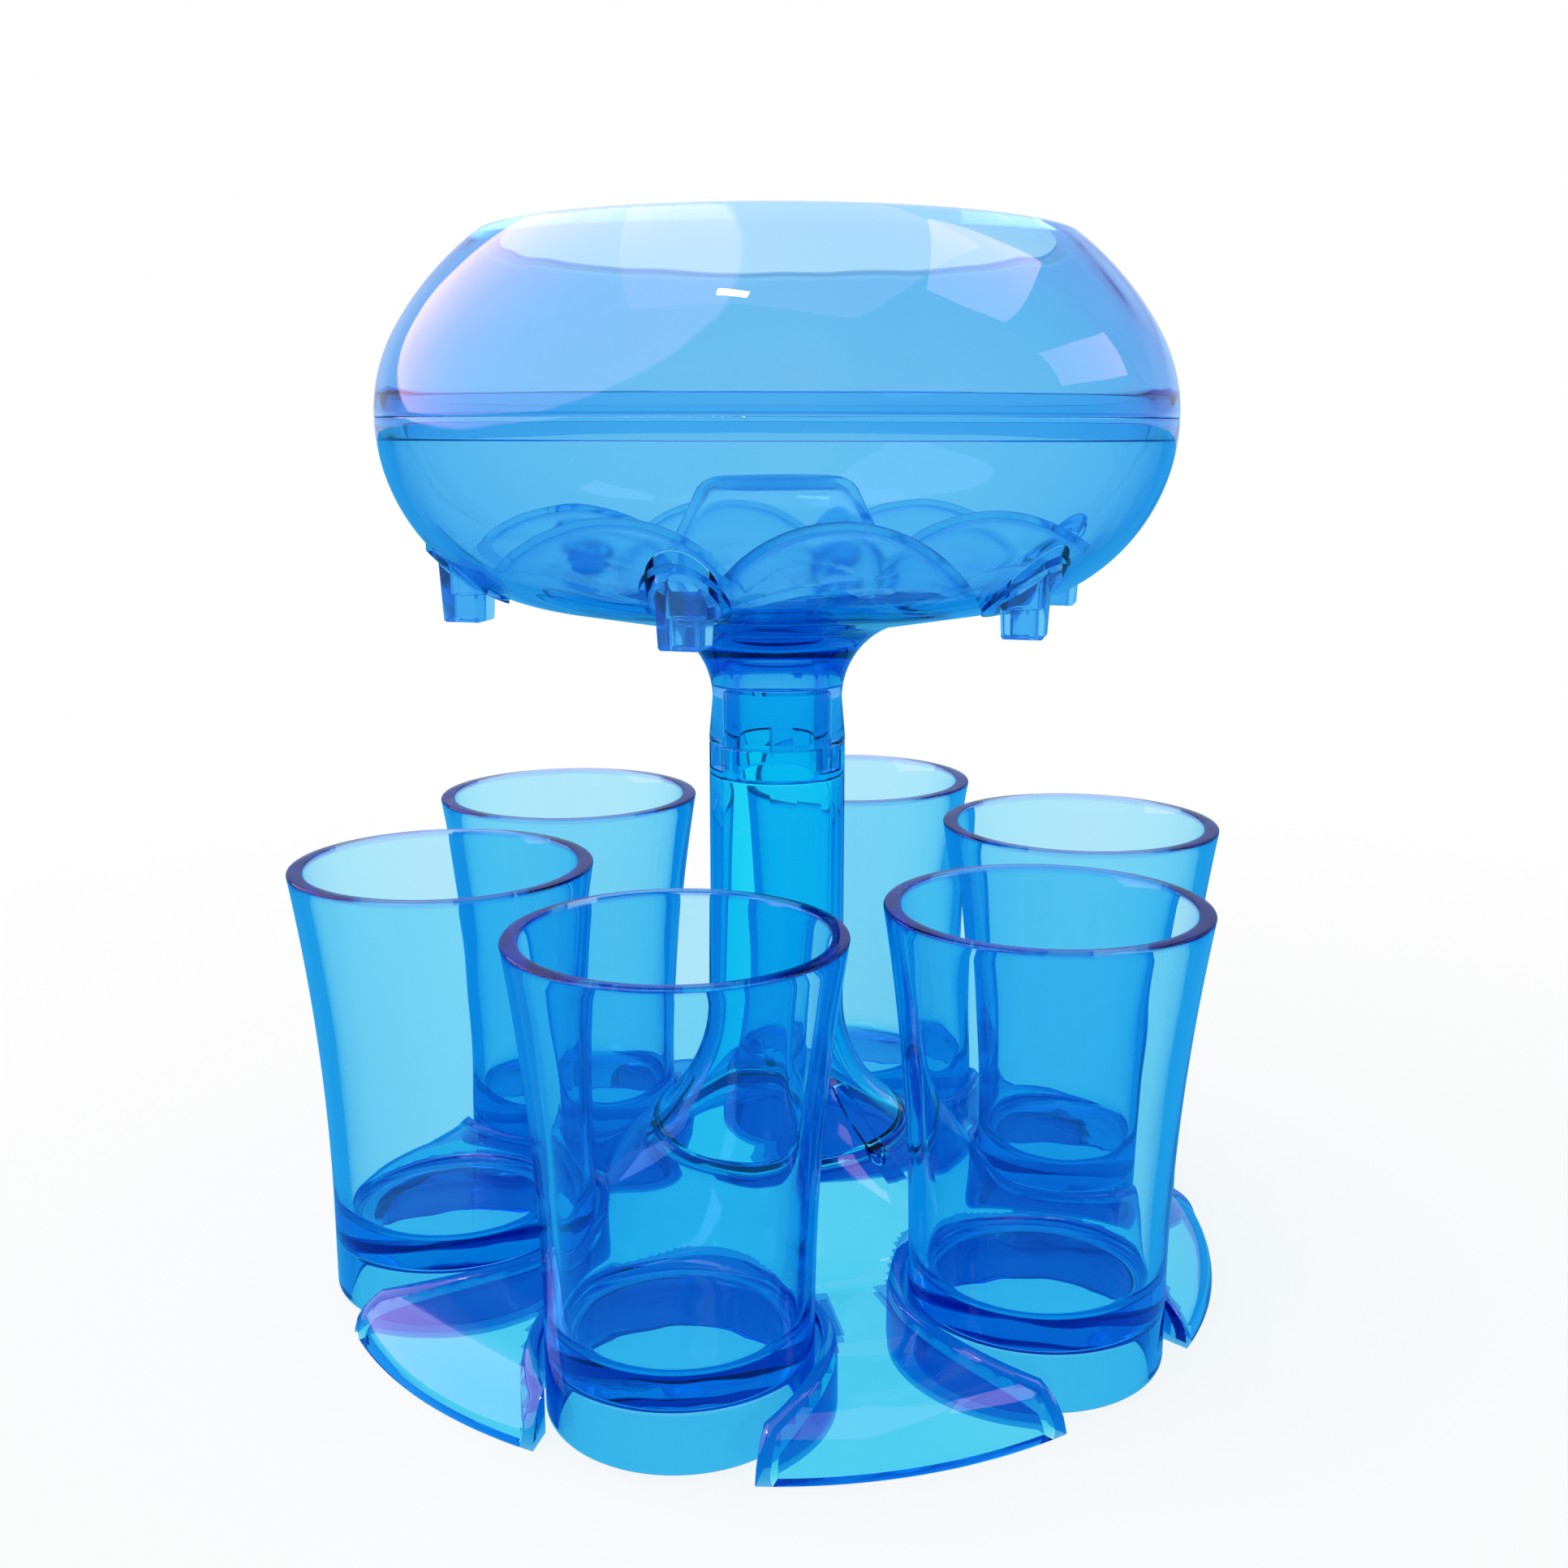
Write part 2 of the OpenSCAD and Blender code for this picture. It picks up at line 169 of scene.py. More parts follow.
# Flow divider: ring and rise of its lobes, and radius, rise, rounding and draft of its hub
LOBE_PLACE_R = SPOUT_R - 13.5
LOBE_RISE = 13.7
HUB_R = 13.0
HUB_RISE = 5.0
HUB_ROUND = 4.0
HUB_DRAFT = math.radians(25)
DIVIDER_WALL = 1.8
SPOUT_ROOM = 0.5
# Width of the soft valleys between lobes, and round the hub
LOBE_BLEND = 1.2
HUB_BLEND = 1.6

# Angles over which an edge is shaded as a corner, in degrees. The divider's valleys are soft, and
# the spouts' flat faces would look bent if their narrow roundings were shaded smooth.
SHARP = 32
DIVIDER_SHARP = 50
SPOUT_SHARP = 12


# ---------------------------------------------------------------- outlines

def arc(centre, radius, start, end, steps):
    """Points along an arc in the upright plane, in so many steps, with its angles in radians."""
    return [
        (centre[0] + radius * math.cos(a), centre[1] + radius * math.sin(a))
        for a in (start + (end - start) * i / steps for i in range(steps + 1))
    ]


def rounded(points, steps=5):
    """The outline, with an arc at each corner that carries a radius as its third number."""
    out = []
    for i, point in enumerate(points):
        if len(point) == 2:
            out.append(point)
            continue
        here = Vector(point[:2])
        back = (Vector(points[i - 1][:2]) - here).normalized()
        on = (Vector(points[(i + 1) % len(points)][:2]) - here).normalized()
        half = back.angle(on) / 2
        centre = here + (back + on).normalized() * point[2] / math.sin(half)
        first = here + back * point[2] / math.tan(half) - centre
        last = here + on * point[2] / math.tan(half) - centre
        turn = math.atan2(first.x * last.y - first.y * last.x, first.dot(last))
        for k in range(steps + 1):
            out.append(tuple(centre + Matrix.Rotation(turn * k / steps, 2) @ first))
    return out


def glass_r(z):
    """Outer radius of a glass: straight at the foot, then an even flare."""
    t = max(0.0, (z - GLASS_FLARE_Z) / (GLASS_H - GLASS_FLARE_Z))
    return GLASS_FOOT_R + (GLASS_RIM_R - GLASS_FOOT_R) * t * t


def glass_outline():
    """Half the section of a glass, from the inner edge of its foot, with rounded corners."""
    steps = 26
    levels = [GLASS_FLARE_Z + (GLASS_H - GLASS_FLARE_Z) * k / steps for k in range(steps + 1)]
    foot_in = GLASS_FOOT_R - GLASS_WALL
    inner = [z for z in reversed(levels[:-1]) if z > GLASS_FLOOR_Z + GLASS_INNER_ROUND + 1]
    return rounded(
        [(foot_in, 0, RIM_ROUND), (GLASS_FOOT_R, 0, GLASS_FOOT_ROUND)]
        + [(glass_r(z), z) for z in levels[:-1]]
        + [(GLASS_RIM_R, GLASS_H, RIM_ROUND), (GLASS_RIM_R - GLASS_WALL, GLASS_H, RIM_ROUND)]
        + [(glass_r(z) - GLASS_WALL, z) for z in inner]
        + [(glass_r(GLASS_FLOOR_Z) - GLASS_WALL, GLASS_FLOOR_Z, GLASS_INNER_ROUND)]
        + [(0, GLASS_FLOOR_Z), (0, GLASS_FLOOR_Z - GLASS_SLAB)]
        + [(foot_in, GLASS_FLOOR_Z - GLASS_SLAB, RECESS_ROUND)],
        8,
    )


# Foot of the column: a quarter flare runs into a cone, and the cone into the deck
FLARE_TURN = math.radians(90) - FOOT_SLOPE
FLARE_C = (COL_R + FLARE_R, FLARE_Z)
CONE_TOP = (FLARE_C[0] - FLARE_R * math.cos(FLARE_TURN), FLARE_C[1] - FLARE_R * math.sin(FLARE_TURN))


def cone_z(r):
    """Height of the cone that the column's foot and the base share."""
    return CONE_TOP[1] - (r - CONE_TOP[0]) * math.tan(FOOT_SLOPE)


def foot_z(r):
    """Height of the column's outer surface on its flare and on the cone below it."""
    if r > CONE_TOP[0]:
        return cone_z(r)
    return FLARE_C[1] - math.sqrt(FLARE_R**2 - (FLARE_C[0] - r) ** 2)


SEAT_Z = cone_z(FOOT_R) - SEAT_DEPTH
SEAT_R = FOOT_R + BOND_GAP
DECK_START_R = CONE_TOP[0] + (CONE_TOP[1] - DECK_Z) / math.tan(FOOT_SLOPE)
FILLET_C = (DECK_START_R + DECK_FILLET * math.tan(FOOT_SLOPE / 2), DECK_Z + DECK_FILLET)


def deck(wall, raised=0.0):
    """Points along the top of the base, from the column's seat to the table, set back by wall."""
    steps = 30
    edge = []
    for i in range(steps + 1):
        a = math.radians(90) * i / steps
        away = Vector((DECK_Z * math.sin(a), EDGE_W * math.cos(a))).normalized()
        on = Vector((BASE_R - EDGE_W + EDGE_W * math.sin(a), DECK_Z * math.cos(a) + raised))
        edge.append(tuple(on - wall * away))
    down = math.radians(-90)
    return (
        [(SEAT_R, cone_z(SEAT_R) - wall / math.cos(FOOT_SLOPE) + raised)]
        + arc((FILLET_C[0], FILLET_C[1] + raised), DECK_FILLET + wall, down - FOOT_SLOPE, down, 16)
        + edge
    )


def height_on(profile, r):
    """Height of an outline that runs outwards, at a radius."""
    for (r0, z0), (r1, z1) in zip(profile, profile[1:]):
        if r <= r1:
            return z0 + (z1 - z0) * max(0.0, (r - r0) / (r1 - r0)) if r1 > r0 else z1
    return profile[-1][1]


def base_outline():
    """Half the section of the base: the shell from the seat's ledge to the table and back."""
    lower = deck(BASE_WALL)
    inner_r = SEAT_R + LEDGE_PAST_SEAT
    inner_z = lower[0][1] - (inner_r - SEAT_R) * math.tan(FOOT_SLOPE)
    return rounded(
        [(FOOT_IN_R, SEAT_Z - LEDGE_T), (FOOT_IN_R, SEAT_Z, SEAT_ROUND)]
        + [(SEAT_R, SEAT_Z), (SEAT_R, cone_z(SEAT_R), RING_ROUND)]
        + deck(0)[1:]
        + list(reversed(lower[1:]))
        + [(inner_r, inner_z)]
    )


def column_outline():
    """Half the section of the column, from the top of its sleeve down the outside and back up."""
    inner_turn = math.acos((FLARE_C[0] - FOOT_IN_R) / (FLARE_R + COL_WALL))
    root_z = JOINT_Z - LUG_H - SLEEVE_ROOT
    return rounded(
        [(SLEEVE_R - SLEEVE_CHAMFER, JOINT_Z + SLEEVE_H), (SLEEVE_R, JOINT_Z + SLEEVE_H - SLEEVE_CHAMFER)]
        + [(SLEEVE_R, JOINT_Z), (COL_R, JOINT_Z, RING_ROUND)]
        + arc(FLARE_C, FLARE_R, math.pi, math.pi + FLARE_TURN, 24)
        + [(FOOT_R, cone_z(FOOT_R), RING_ROUND), (FOOT_R, SEAT_Z, SEAT_ROUND)]
        + [(FOOT_IN_R, SEAT_Z, SEAT_ROUND)]
        + arc(FLARE_C, FLARE_R + COL_WALL, math.pi + inner_turn, math.pi, 24)
        + [(BORE_R, root_z, ROOT_ROUND), (SLEEVE_IN_R, root_z)]
        + [(SLEEVE_IN_R, JOINT_Z + SLEEVE_H, BORE_ROUND)]
    )


# Lower half of the bowl
BELLY_C = (BOWL_R - BELLY_R, SEAM_Z)
BELLY_END = (
    BELLY_C[0] + BELLY_R * math.sin(UNDER_SLOPE),
    BELLY_C[1] - BELLY_R * math.cos(UNDER_SLOPE),
)
BELLY_START_A = UNDER_SLOPE - math.radians(90)


def under_z(r):
    """Height of the bowl's sloping underside."""
    return BELLY_END[1] - (BELLY_END[0] - r) * math.tan(UNDER_SLOPE)


def belly_z(r):
    """Height of the bowl's round side below the parting line."""
    return SEAM_Z - math.sqrt(BELLY_R**2 - (r - BELLY_C[0]) ** 2)


def floor_z(r, gap=0.0):
    """Height of the bowl's inner surface, set in by a gap."""
    inner = BELLY_R - BOWL_WALL - gap
    start = BELLY_C[0] + inner * math.sin(UNDER_SLOPE)
    if r < start:
        return under_z(r) + (BOWL_WALL + gap) / math.cos(UNDER_SLOPE)
    return SEAM_Z - math.sqrt(max(inner**2 - (r - BELLY_C[0]) ** 2, 0.0))


NECK_C = (
    NECK_R + NECK_FILLET,
    under_z(NECK_R + NECK_FILLET) - NECK_FILLET / math.cos(UNDER_SLOPE),
)
SOCKET_R = SLEEVE_R + SLIDE_GAP
SOCKET_Z = JOINT_Z + SLEEVE_H + SLEEVE_ROOM
CORE_TOP_Z = under_z(0) - CORE_UNDER_SKIN


def lower_bowl_outline():
    """Half the section of the lower half of the bowl: the neck's core and socket, the skin, the lap."""
    band_in = LIP_R + BOND_GAP - BOWL_WALL + BAND_OUT
    band_out = LIP_R - BOND_GAP
    inner = arc(BELLY_C, BELLY_R - BOWL_WALL, 0, BELLY_START_A, 36)
    return rounded(
        [(0, CORE_TOP_Z), (SLEEVE_IN_R, CORE_TOP_Z, RECESS_ROUND), (SLEEVE_IN_R, SOCKET_Z)]
        + [(SOCKET_R, SOCKET_Z, BORE_ROUND), (SOCKET_R, JOINT_Z), (COL_R, JOINT_Z, RING_ROUND)]
        + [(COL_R, JOINT_Z + NECK_RING_H, BORE_ROUND)]
        + arc(NECK_C, NECK_FILLET, math.pi, math.radians(90) + UNDER_SLOPE, 18)
        + arc(BELLY_C, BELLY_R, BELLY_START_A, 0, 40)[:-1]
        + [(BOWL_R, SEAM_Z, SEAT_ROUND), (band_out, SEAM_Z)]
        + [(band_out, SEAM_Z + LAP_H, SEAT_ROUND), (band_in, SEAM_Z + LAP_H, SEAT_ROUND)]
        + [(band_in, SEAM_Z - LAP_H, SEAT_ROUND)]
        + [(r, z) for r, z in inner if z < SEAM_Z - LAP_H]
        + [(0, floor_z(0))]
    )


# Upper half of the bowl: the side next to the seam runs into a flatter arc that ends at the rim
SHOULDER_C = (BOWL_R - SHOULDER_R, SEAM_Z)
RIM_OUT = RIM_R - SHOULDER_C[0]
CROWN_MORE = (RIM_OUT**2 + RIM_RISE**2 - SHOULDER_R**2) / (
    2 * (SHOULDER_R - RIM_OUT * math.cos(SHOULDER_TURN) - RIM_RISE * math.sin(SHOULDER_TURN))
)
CROWN_R = SHOULDER_R + CROWN_MORE
CROWN_C = (
    SHOULDER_C[0] - CROWN_MORE * math.cos(SHOULDER_TURN),
    SHOULDER_C[1] - CROWN_MORE * math.sin(SHOULDER_TURN),
)


def upper_bowl_outline():
    """Half the section of the upper half of the bowl, from its foot over the rim and down to the lip."""
    rim_z = SEAM_Z + RIM_RISE
    inner_r = CROWN_R - BOWL_WALL
    rise = rim_z - CROWN_C[1]
    outer = arc(CROWN_C, CROWN_R, SHOULDER_TURN, math.asin(rise / CROWN_R), 24)
    inner = arc(CROWN_C, inner_r, math.asin(rise / inner_r), SHOULDER_TURN, 24)
    low = arc(SHOULDER_C, SHOULDER_R - BOWL_WALL, SHOULDER_TURN, 0, 20)
    lap_z = SEAM_Z + LAP_H + BOND_GAP
    return rounded(
        [(BOWL_R, SEAM_Z, SEAT_ROUND)]
        + arc(SHOULDER_C, SHOULDER_R, 0, SHOULDER_TURN, 20)[1:]
        + outer[1:-1]
        + [(outer[-1][0], rim_z, RIM_ROUND), (inner[0][0], rim_z, RIM_ROUND)]
        + inner[1:]
        + [(r, z) for r, z in low[1:] if z > lap_z + 0.3]
        + [(LIP_R - LIP_FOOT, lap_z), (LIP_R, lap_z), (LIP_R, SEAM_Z)]
    )


# ---------------------------------------------------------------- solids

def turned(outline, centre=(0.0, 0.0), turns=TURNS):
    """A revolved solid of an outline of (radius, height) points. Edges on the axis aren't turned."""
    bm = bmesh.new()
    verts = [bm.verts.new((r * MM, 0, z * MM)) for r, z in outline]
    edges = [
        bm.edges.new((a, b))
        for a, b in zip(verts, verts[1:] + verts[:1])
        if a.co.x > 0 or b.co.x > 0
    ]
    bmesh.ops.spin(
        bm, geom=verts + edges, cent=(0, 0, 0), axis=(0, 0, 1), dvec=(0, 0, 0),
        angle=math.tau, steps=turns, use_merge=True, use_normal_flip=False, use_duplicate=False,
    )
    bmesh.ops.remove_doubles(bm, verts=bm.verts, dist=1e-7)
    bmesh.ops.recalc_face_normals(bm, faces=bm.faces)
    bmesh.ops.translate(bm, verts=bm.verts, vec=(centre[0] * MM, centre[1] * MM, 0))
    return bm


def prism(outline, low, high):
    """An upright solid of a closed flat outline of (x, y) points."""
    bm = bmesh.new()
    face = bm.faces.new([bm.verts.new((x * MM, y * MM, low * MM)) for x, y in outline])
    made = bmesh.ops.extrude_face_region(bm, geom=[face])
    top = [v for v in made["geom"] if isinstance(v, bmesh.types.BMVert)]
    bmesh.ops.translate(bm, verts=top, vec=(0, 0, (high - low) * MM))
    bmesh.ops.recalc_face_normals(bm, faces=bm.faces)
    return bm


def drum(radius, low, high, centre=(0.0, 0.0), turns=64):
    """A plain upright cylinder."""
    return turned([(0, low), (radius, low), (radius, high), (0, high)], centre, turns)


def joined(*parts):
    """One bmesh of several that don't touch."""
    whole = bmesh.new()
    for part in parts:
        held = bpy.data.meshes.new("held")
        part.to_mesh(held)
        part.free()
        whole.from_mesh(held)
        bpy.data.meshes.remove(held)
    return whole


def round_the_axis(make, angles):
    """Copies of what make() gives, turned to each angle."""
    parts = []
    for angle in angles:
        part = make()
        bmesh.ops.rotate(part, verts=part.verts, cent=(0, 0, 0), matrix=Matrix.Rotation(angle, 3, "Z"))
        parts.append(part)
    return joined(*parts)


def as_object(name, bm):
    """An object of the scene that holds a bmesh."""
    mesh = bpy.data.meshes.new(name)
    bm.to_mesh(mesh)
    bm.free()
    obj = bpy.data.objects.new(name, mesh)
    bpy.context.scene.collection.objects.link(obj)
    return obj


def cut(obj, operation, bm):
    """Adds, takes away or keeps the common part of another solid, and leaves a plain mesh."""
    tool = as_object("tool", bm)
    change = obj.modifiers.new(operation, "BOOLEAN")
    change.operation, change.solver, change.object = operation, "EXACT", tool
    bpy.context.view_layer.update()
    done = bpy.data.meshes.new_from_object(obj.evaluated_get(bpy.context.evaluated_depsgraph_get()))
    old = obj.data
    obj.modifiers.clear()
    obj.data = done
    bpy.data.meshes.remove(old)
    bpy.data.objects.remove(tool)
    return obj


def finished(obj, body, node, material, sharp=SHARP):
    """Smooth shading with crisp corners, the material, and the CAD body and node it goes with."""
    mesh = obj.data
    mesh.materials.clear()
    mesh.materials.append(material)
    mesh.polygons.foreach_set("material_index", [0] * len(mesh.polygons))
    mesh.polygons.foreach_set("use_smooth", [True] * len(mesh.polygons))
    mesh.set_sharp_from_angle(angle=math.radians(sharp))
    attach(obj, body)
    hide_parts(node)
    return obj


def place(i):
    """Centre of a place on the base, from 1 to 6."""
    a = (i - 1) * PITCH
    return (PLACE_R * math.sin(a), -PLACE_R * math.cos(a))


# Turns from the first place to every place, and to the three tabs, which stand between places
EVERY_PLACE = [i * PITCH for i in range(PLACES)]
EVERY_KEY = [(2 * i + 1) * PITCH for i in range(PLACES // 2)]


# ---------------------------------------------------------------- base

def notch_path(extra):
    """Points along a notch's wall, from one end of its mouth to the other, moved out by extra."""
    radius, half = NOTCH_R + extra, MOUTH_HALF + extra
    far = -math.sqrt((BASE_R + 2) ** 2 - half**2)
    near = -PLACE_R - math.sqrt(radius**2 - half**2)
    start = math.acos(half / radius)
    side = [(half, far + (near - far) * k / 10) for k in range(10)]
    back = [
        (radius * math.cos(a), -PLACE_R + radius * math.sin(a))
        for a in (-start + (math.pi + 2 * start) * k / 72 for k in range(73))
    ]
    return side + back + [(-x, y) for x, y in reversed(side)]


def notch_prism(extra, low, high):
    """A solid of a notch's opening, moved out by extra and carried on past the base's edge."""
    path = notch_path(extra)
    (x0, y0), (x1, y1) = path[0], path[-1]
    return prism(path + [(x1, y1 - 20), (x0, y0 - 20)], low, high)


def collar():
    """The wall round a notch: upright, with a rounded top edge that follows the base's surface.

    top holds how far out from the notch each line of the top edge runs, and how far it lies
    below the bead's full height.
    """
    top = [(0.0, 0.45), (0.13, 0.13), (0.45, 0.0), (0.9, -0.02), (1.4, 0.06), (1.8, 0.32)]
    top.append((BASE_WALL, 0.95))
    profile = deck(0, BEAD_H)
    bm = bmesh.new()
    loops = []
    sections = [(0.0, None)] + top + [(BASE_WALL, None)]
    for out, below in sections:
        verts = []
        for x, y in notch_path(out):
            r = math.hypot(x, y)
            z = max(height_on(profile, r) - below, 0.0) if below is not None else 0.0
            if below is not None and r >= BASE_R - 0.01:
                z = 0.0
            verts.append(bm.verts.new((x * MM, y * MM, z * MM)))
        loops.append([bm.edges.new(pair) for pair in zip(verts, verts[1:])])
    for a, b in zip(loops, loops[1:] + loops[:1]):
        bmesh.ops.bridge_loops(bm, edges=a + b)
    ends = [e for e in bm.edges if e.is_boundary]
    bmesh.ops.holes_fill(bm, edges=ends)
    bmesh.ops.recalc_face_normals(bm, faces=bm.faces)
    return bm


def tab_bars(extra, low, high):
    """Locating tabs down the flare and past the foot, with round ends, between two heights over it."""
    reach = FOOT_R + TAB_L - TAB_W / 2
    half = TAB_W / 2 + extra
    straight = [TAB_IN_R + (reach - TAB_IN_R) * k / 12 for k in range(12)]
    stations = [(r, half) for r in straight]
    for k in range(9):
        a = math.pi * k / 17
        stations.append((reach + half * math.sin(a), half * math.cos(a)))

    def make():
        bm = bmesh.new()
        rows = []
        for r, w in stations:
            z = foot_z(math.hypot(r, w))
            corners = [(w, z + low), (w, z + high), (-w, z + high), (-w, z + low)]
            rows.append([bm.verts.new((x * MM, -r * MM, at * MM)) for x, at in corners])
        for a, b in zip(rows, rows[1:]):
            for k in range(4):
                bm.faces.new((a[k], a[(k + 1) % 4], b[(k + 1) % 4], b[k]))
        bm.faces.new(rows[0])
        bm.faces.new(rows[-1])
        bmesh.ops.recalc_face_normals(bm, faces=bm.faces)
        return bm

    return round_the_axis(make, EVERY_KEY)


def make_base_tray():
    """The revolved shell, cut by the notches, with a collar round each and the slots of the tabs."""
    tray = as_object("clear_base_tray", turned(base_outline(), turns=216))
    notches = round_the_axis(
        lambda: notch_prism(BASE_WALL / 2, UNDER_TABLE_Z, OVER_DECK_Z), EVERY_PLACE
    )
    cut(tray, "DIFFERENCE", notches)
    cut(tray, "UNION", round_the_axis(collar, EVERY_PLACE))
    cut(tray, "INTERSECT", drum(BASE_R, 0, OVER_BASE_Z, turns=216))
    cut(tray, "DIFFERENCE", tab_bars(BOND_GAP, -TAB_T, OVER_TAB))
    # marks the walls round the notches, which get painted shade
    edge = tray.data.attributes.new("edge", "FLOAT", "FACE")
    edge.data.foreach_set("value", [in_collar(face.center) for face in tray.data.polygons])
    return tray


def in_collar(point):
    """1 for a point in the wall round one of the notches, and 0 elsewhere."""
    r, a = math.hypot(point.x, point.y) / MM, math.atan2(point.x, -point.y)
    a -= round(a / PITCH) * PITCH
    side, out = abs(r * math.sin(a)), r * math.cos(a) - PLACE_R
    away = math.hypot(side, out) - NOTCH_R
    if out > 0:
        away = min(away, side - MOUTH_HALF)
    return float(away < BASE_WALL)


# ---------------------------------------------------------------- column and bowl

def lug_bars(inner, outer, extra=0.0):
    """Bars between two radii: the lugs, or the wider and deeper slots that take them."""
    half = LUG_W / 2 + extra
    steps = [-half + 2 * half * k / 8 for k in range(9)]
    outline = [(x, -math.sqrt(outer**2 - x * x)) for x in steps]
    outline += [(x, -math.sqrt(inner**2 - x * x)) for x in reversed(steps)]
    return round_the_axis(
        lambda: prism(outline, JOINT_Z - LUG_H - extra, JOINT_Z + 0.5),
        [a + LUG_TURN for a in EVERY_KEY],
    )


def make_column():
    """The revolved column, with the slots of the neck's lugs and its own locating tabs."""
    column = as_object("clear_column", turned(column_outline()))
    cut(column, "DIFFERENCE", lug_bars(SLEEVE_R + BOND_GAP, COL_R + 1, SLIDE_GAP))
    return cut(column, "UNION", tab_bars(0, -TAB_T + TAB_LESS, TAB_RISE))


def belly_shell():
    """A thick shell below the parting line, from inside the bowl to the face of the spouts' collars."""
    shell = arc(BELLY_C, BELLY_R + COLLAR_H, BELLY_START_A, 0, 40)
    return turned(shell + arc(BELLY_C, BELLY_R - 2 * BOWL_WALL, 0, BELLY_START_A, 40))


def at_every_spout(radius):
    """Upright cylinders through the bowl's wall, one at every spout."""
    return round_the_axis(lambda: drum(radius, UNDER_SKIN_Z, SEAM_Z, (0, -SPOUT_R)), EVERY_PLACE)


def spout_collars():
    """Rings that stand out of the bowl's skin round the spouts."""
    rings = as_object("rings", belly_shell())
    cut(rings, "INTERSECT", at_every_spout(HOLE_R + COLLAR_W))
    cut(rings, "DIFFERENCE", bowl_space(COLLAR_SINK))
    bm = bmesh.new()
    bm.from_mesh(rings.data)
    bpy.data.objects.remove(rings)
    return bm


def make_lower_bowl():
    """The revolved lower half, with the collars and holes of the spouts and the neck's lugs."""
    bowl = as_object("clear_bowl_lower", turned(lower_bowl_outline(), turns=192))
    cut(bowl, "UNION", spout_collars())
    cut(bowl, "DIFFERENCE", at_every_spout(HOLE_R))
    return cut(bowl, "UNION", lug_bars(SOCKET_R + BOND_GAP, COL_R - BOND_GAP))


def bowl_space(lower=0.0):
    """The room inside the lower half of the bowl, carried on upwards, or sunk into its wall."""
    widest = BOWL_R - BOWL_WALL - 0.05
    points = [(widest * k / 60, floor_z(widest * k / 60) - lower) for k in range(61)]
    return turned(points + [(widest, SEAM_Z + 30), (0, SEAM_Z + 30)])


def nozzle(turn):
    """A square block that widens upwards, with round edges, turned about the first spout's axis."""
    outlet_z = belly_z(SPOUT_R) - SPOUT_DROP
    top_z = belly_z(SPOUT_R + NOZZLE_ROOT)
    block = bmesh.new()
    bmesh.ops.create_cube(block, size=2)
    for v in block.verts:
        half, z = (NOZZLE_ROOT, top_z) if v.co.z > 0 else (NOZZLE_W / 2, outlet_z)
        v.co = (v.co.x * half * MM, v.co.y * half * MM, z * MM)
    upright = [e for e in block.edges if abs(e.verts[0].co.z - e.verts[1].co.z) > MM]
    bmesh.ops.bevel(
        block, geom=upright, offset=NOZZLE_EDGE_ROUND * MM, affect="EDGES", segments=5,
        profile=0.5, material=-1, offset_type="OFFSET", clamp_overlap=True,
    )
    low = [e for e in block.edges if max(v.co.z for v in e.verts) < (outlet_z + 0.1) * MM]
    bmesh.ops.bevel(
        block, geom=low, offset=NOZZLE_END_ROUND * MM, affect="EDGES", segments=6,
        profile=0.5, material=-1, offset_type="OFFSET", clamp_overlap=True,
    )
    bmesh.ops.rotate(block, verts=block.verts, cent=(0, 0, 0), matrix=Matrix.Rotation(turn, 3, "Z"))
    bmesh.ops.translate(block, verts=block.verts, vec=(0, -SPOUT_R * MM, 0))
    bmesh.ops.recalc_face_normals(block, faces=block.faces)
    return block


def make_spout(i):
    """A round shank in the bowl's wall over a nozzle with a bore. All nozzles face the same way."""
    outlet_z = belly_z(SPOUT_R) - SPOUT_DROP
    inlet_z = outlet_z + NOZZLE_H
    at = (0, -SPOUT_R)
    around = (i - 1) * PITCH
    spout = as_object(f"clear_spout_{i}", drum(SHANK_R, UNDER_SKIN_Z, SEAM_Z, at, 96))
    cut(spout, "INTERSECT", belly_shell())
    cut(spout, "UNION", nozzle(-around))
    cut(spout, "DIFFERENCE", bowl_space())
    bore = [(0, outlet_z - 1), (OUTLET_R, outlet_z - 1), (OUTLET_R, inlet_z)]
    bore += [(INLET_R, inlet_z, BORE_ROUND), (INLET_R, SEAM_Z), (0, SEAM_Z)]
    cut(spout, "DIFFERENCE", turned(rounded(bore), at, 72))
    spout.data.transform(Matrix.Rotation(around, 4, "Z"))
    return spout


# ---------------------------------------------------------------- flow divider

# Each lobe is part of a ball that comes down just clear of the holes of the nearest spouts
LOBE_TOP_Z = BELLY_END[1] + LOBE_RISE
LOBE_HIGH = LOBE_TOP_Z - belly_z(SPOUT_R - HOLE_R)
LOBE_TO_SPOUT = math.hypot(
    LOBE_PLACE_R * math.cos(PITCH / 2) - SPOUT_R, LOBE_PLACE_R * math.sin(PITCH / 2)
)
LOBE_WIDE = LOBE_TO_SPOUT - HOLE_R - SPOUT_ROOM
LOBE_R = (LOBE_WIDE**2 + LOBE_HIGH**2) / (2 * LOBE_HIGH)
LOBE_Z = LOBE_TOP_Z - LOBE_R
HUB_Z = LOBE_TOP_Z + HUB_RISE


def smooth_max(a, b, blend):
    """The larger of two heights, with a soft valley of about blend where they meet."""
    h = max(blend - abs(a - b), 0.0) / blend
    return max(a, b) + h * h * blend / 4


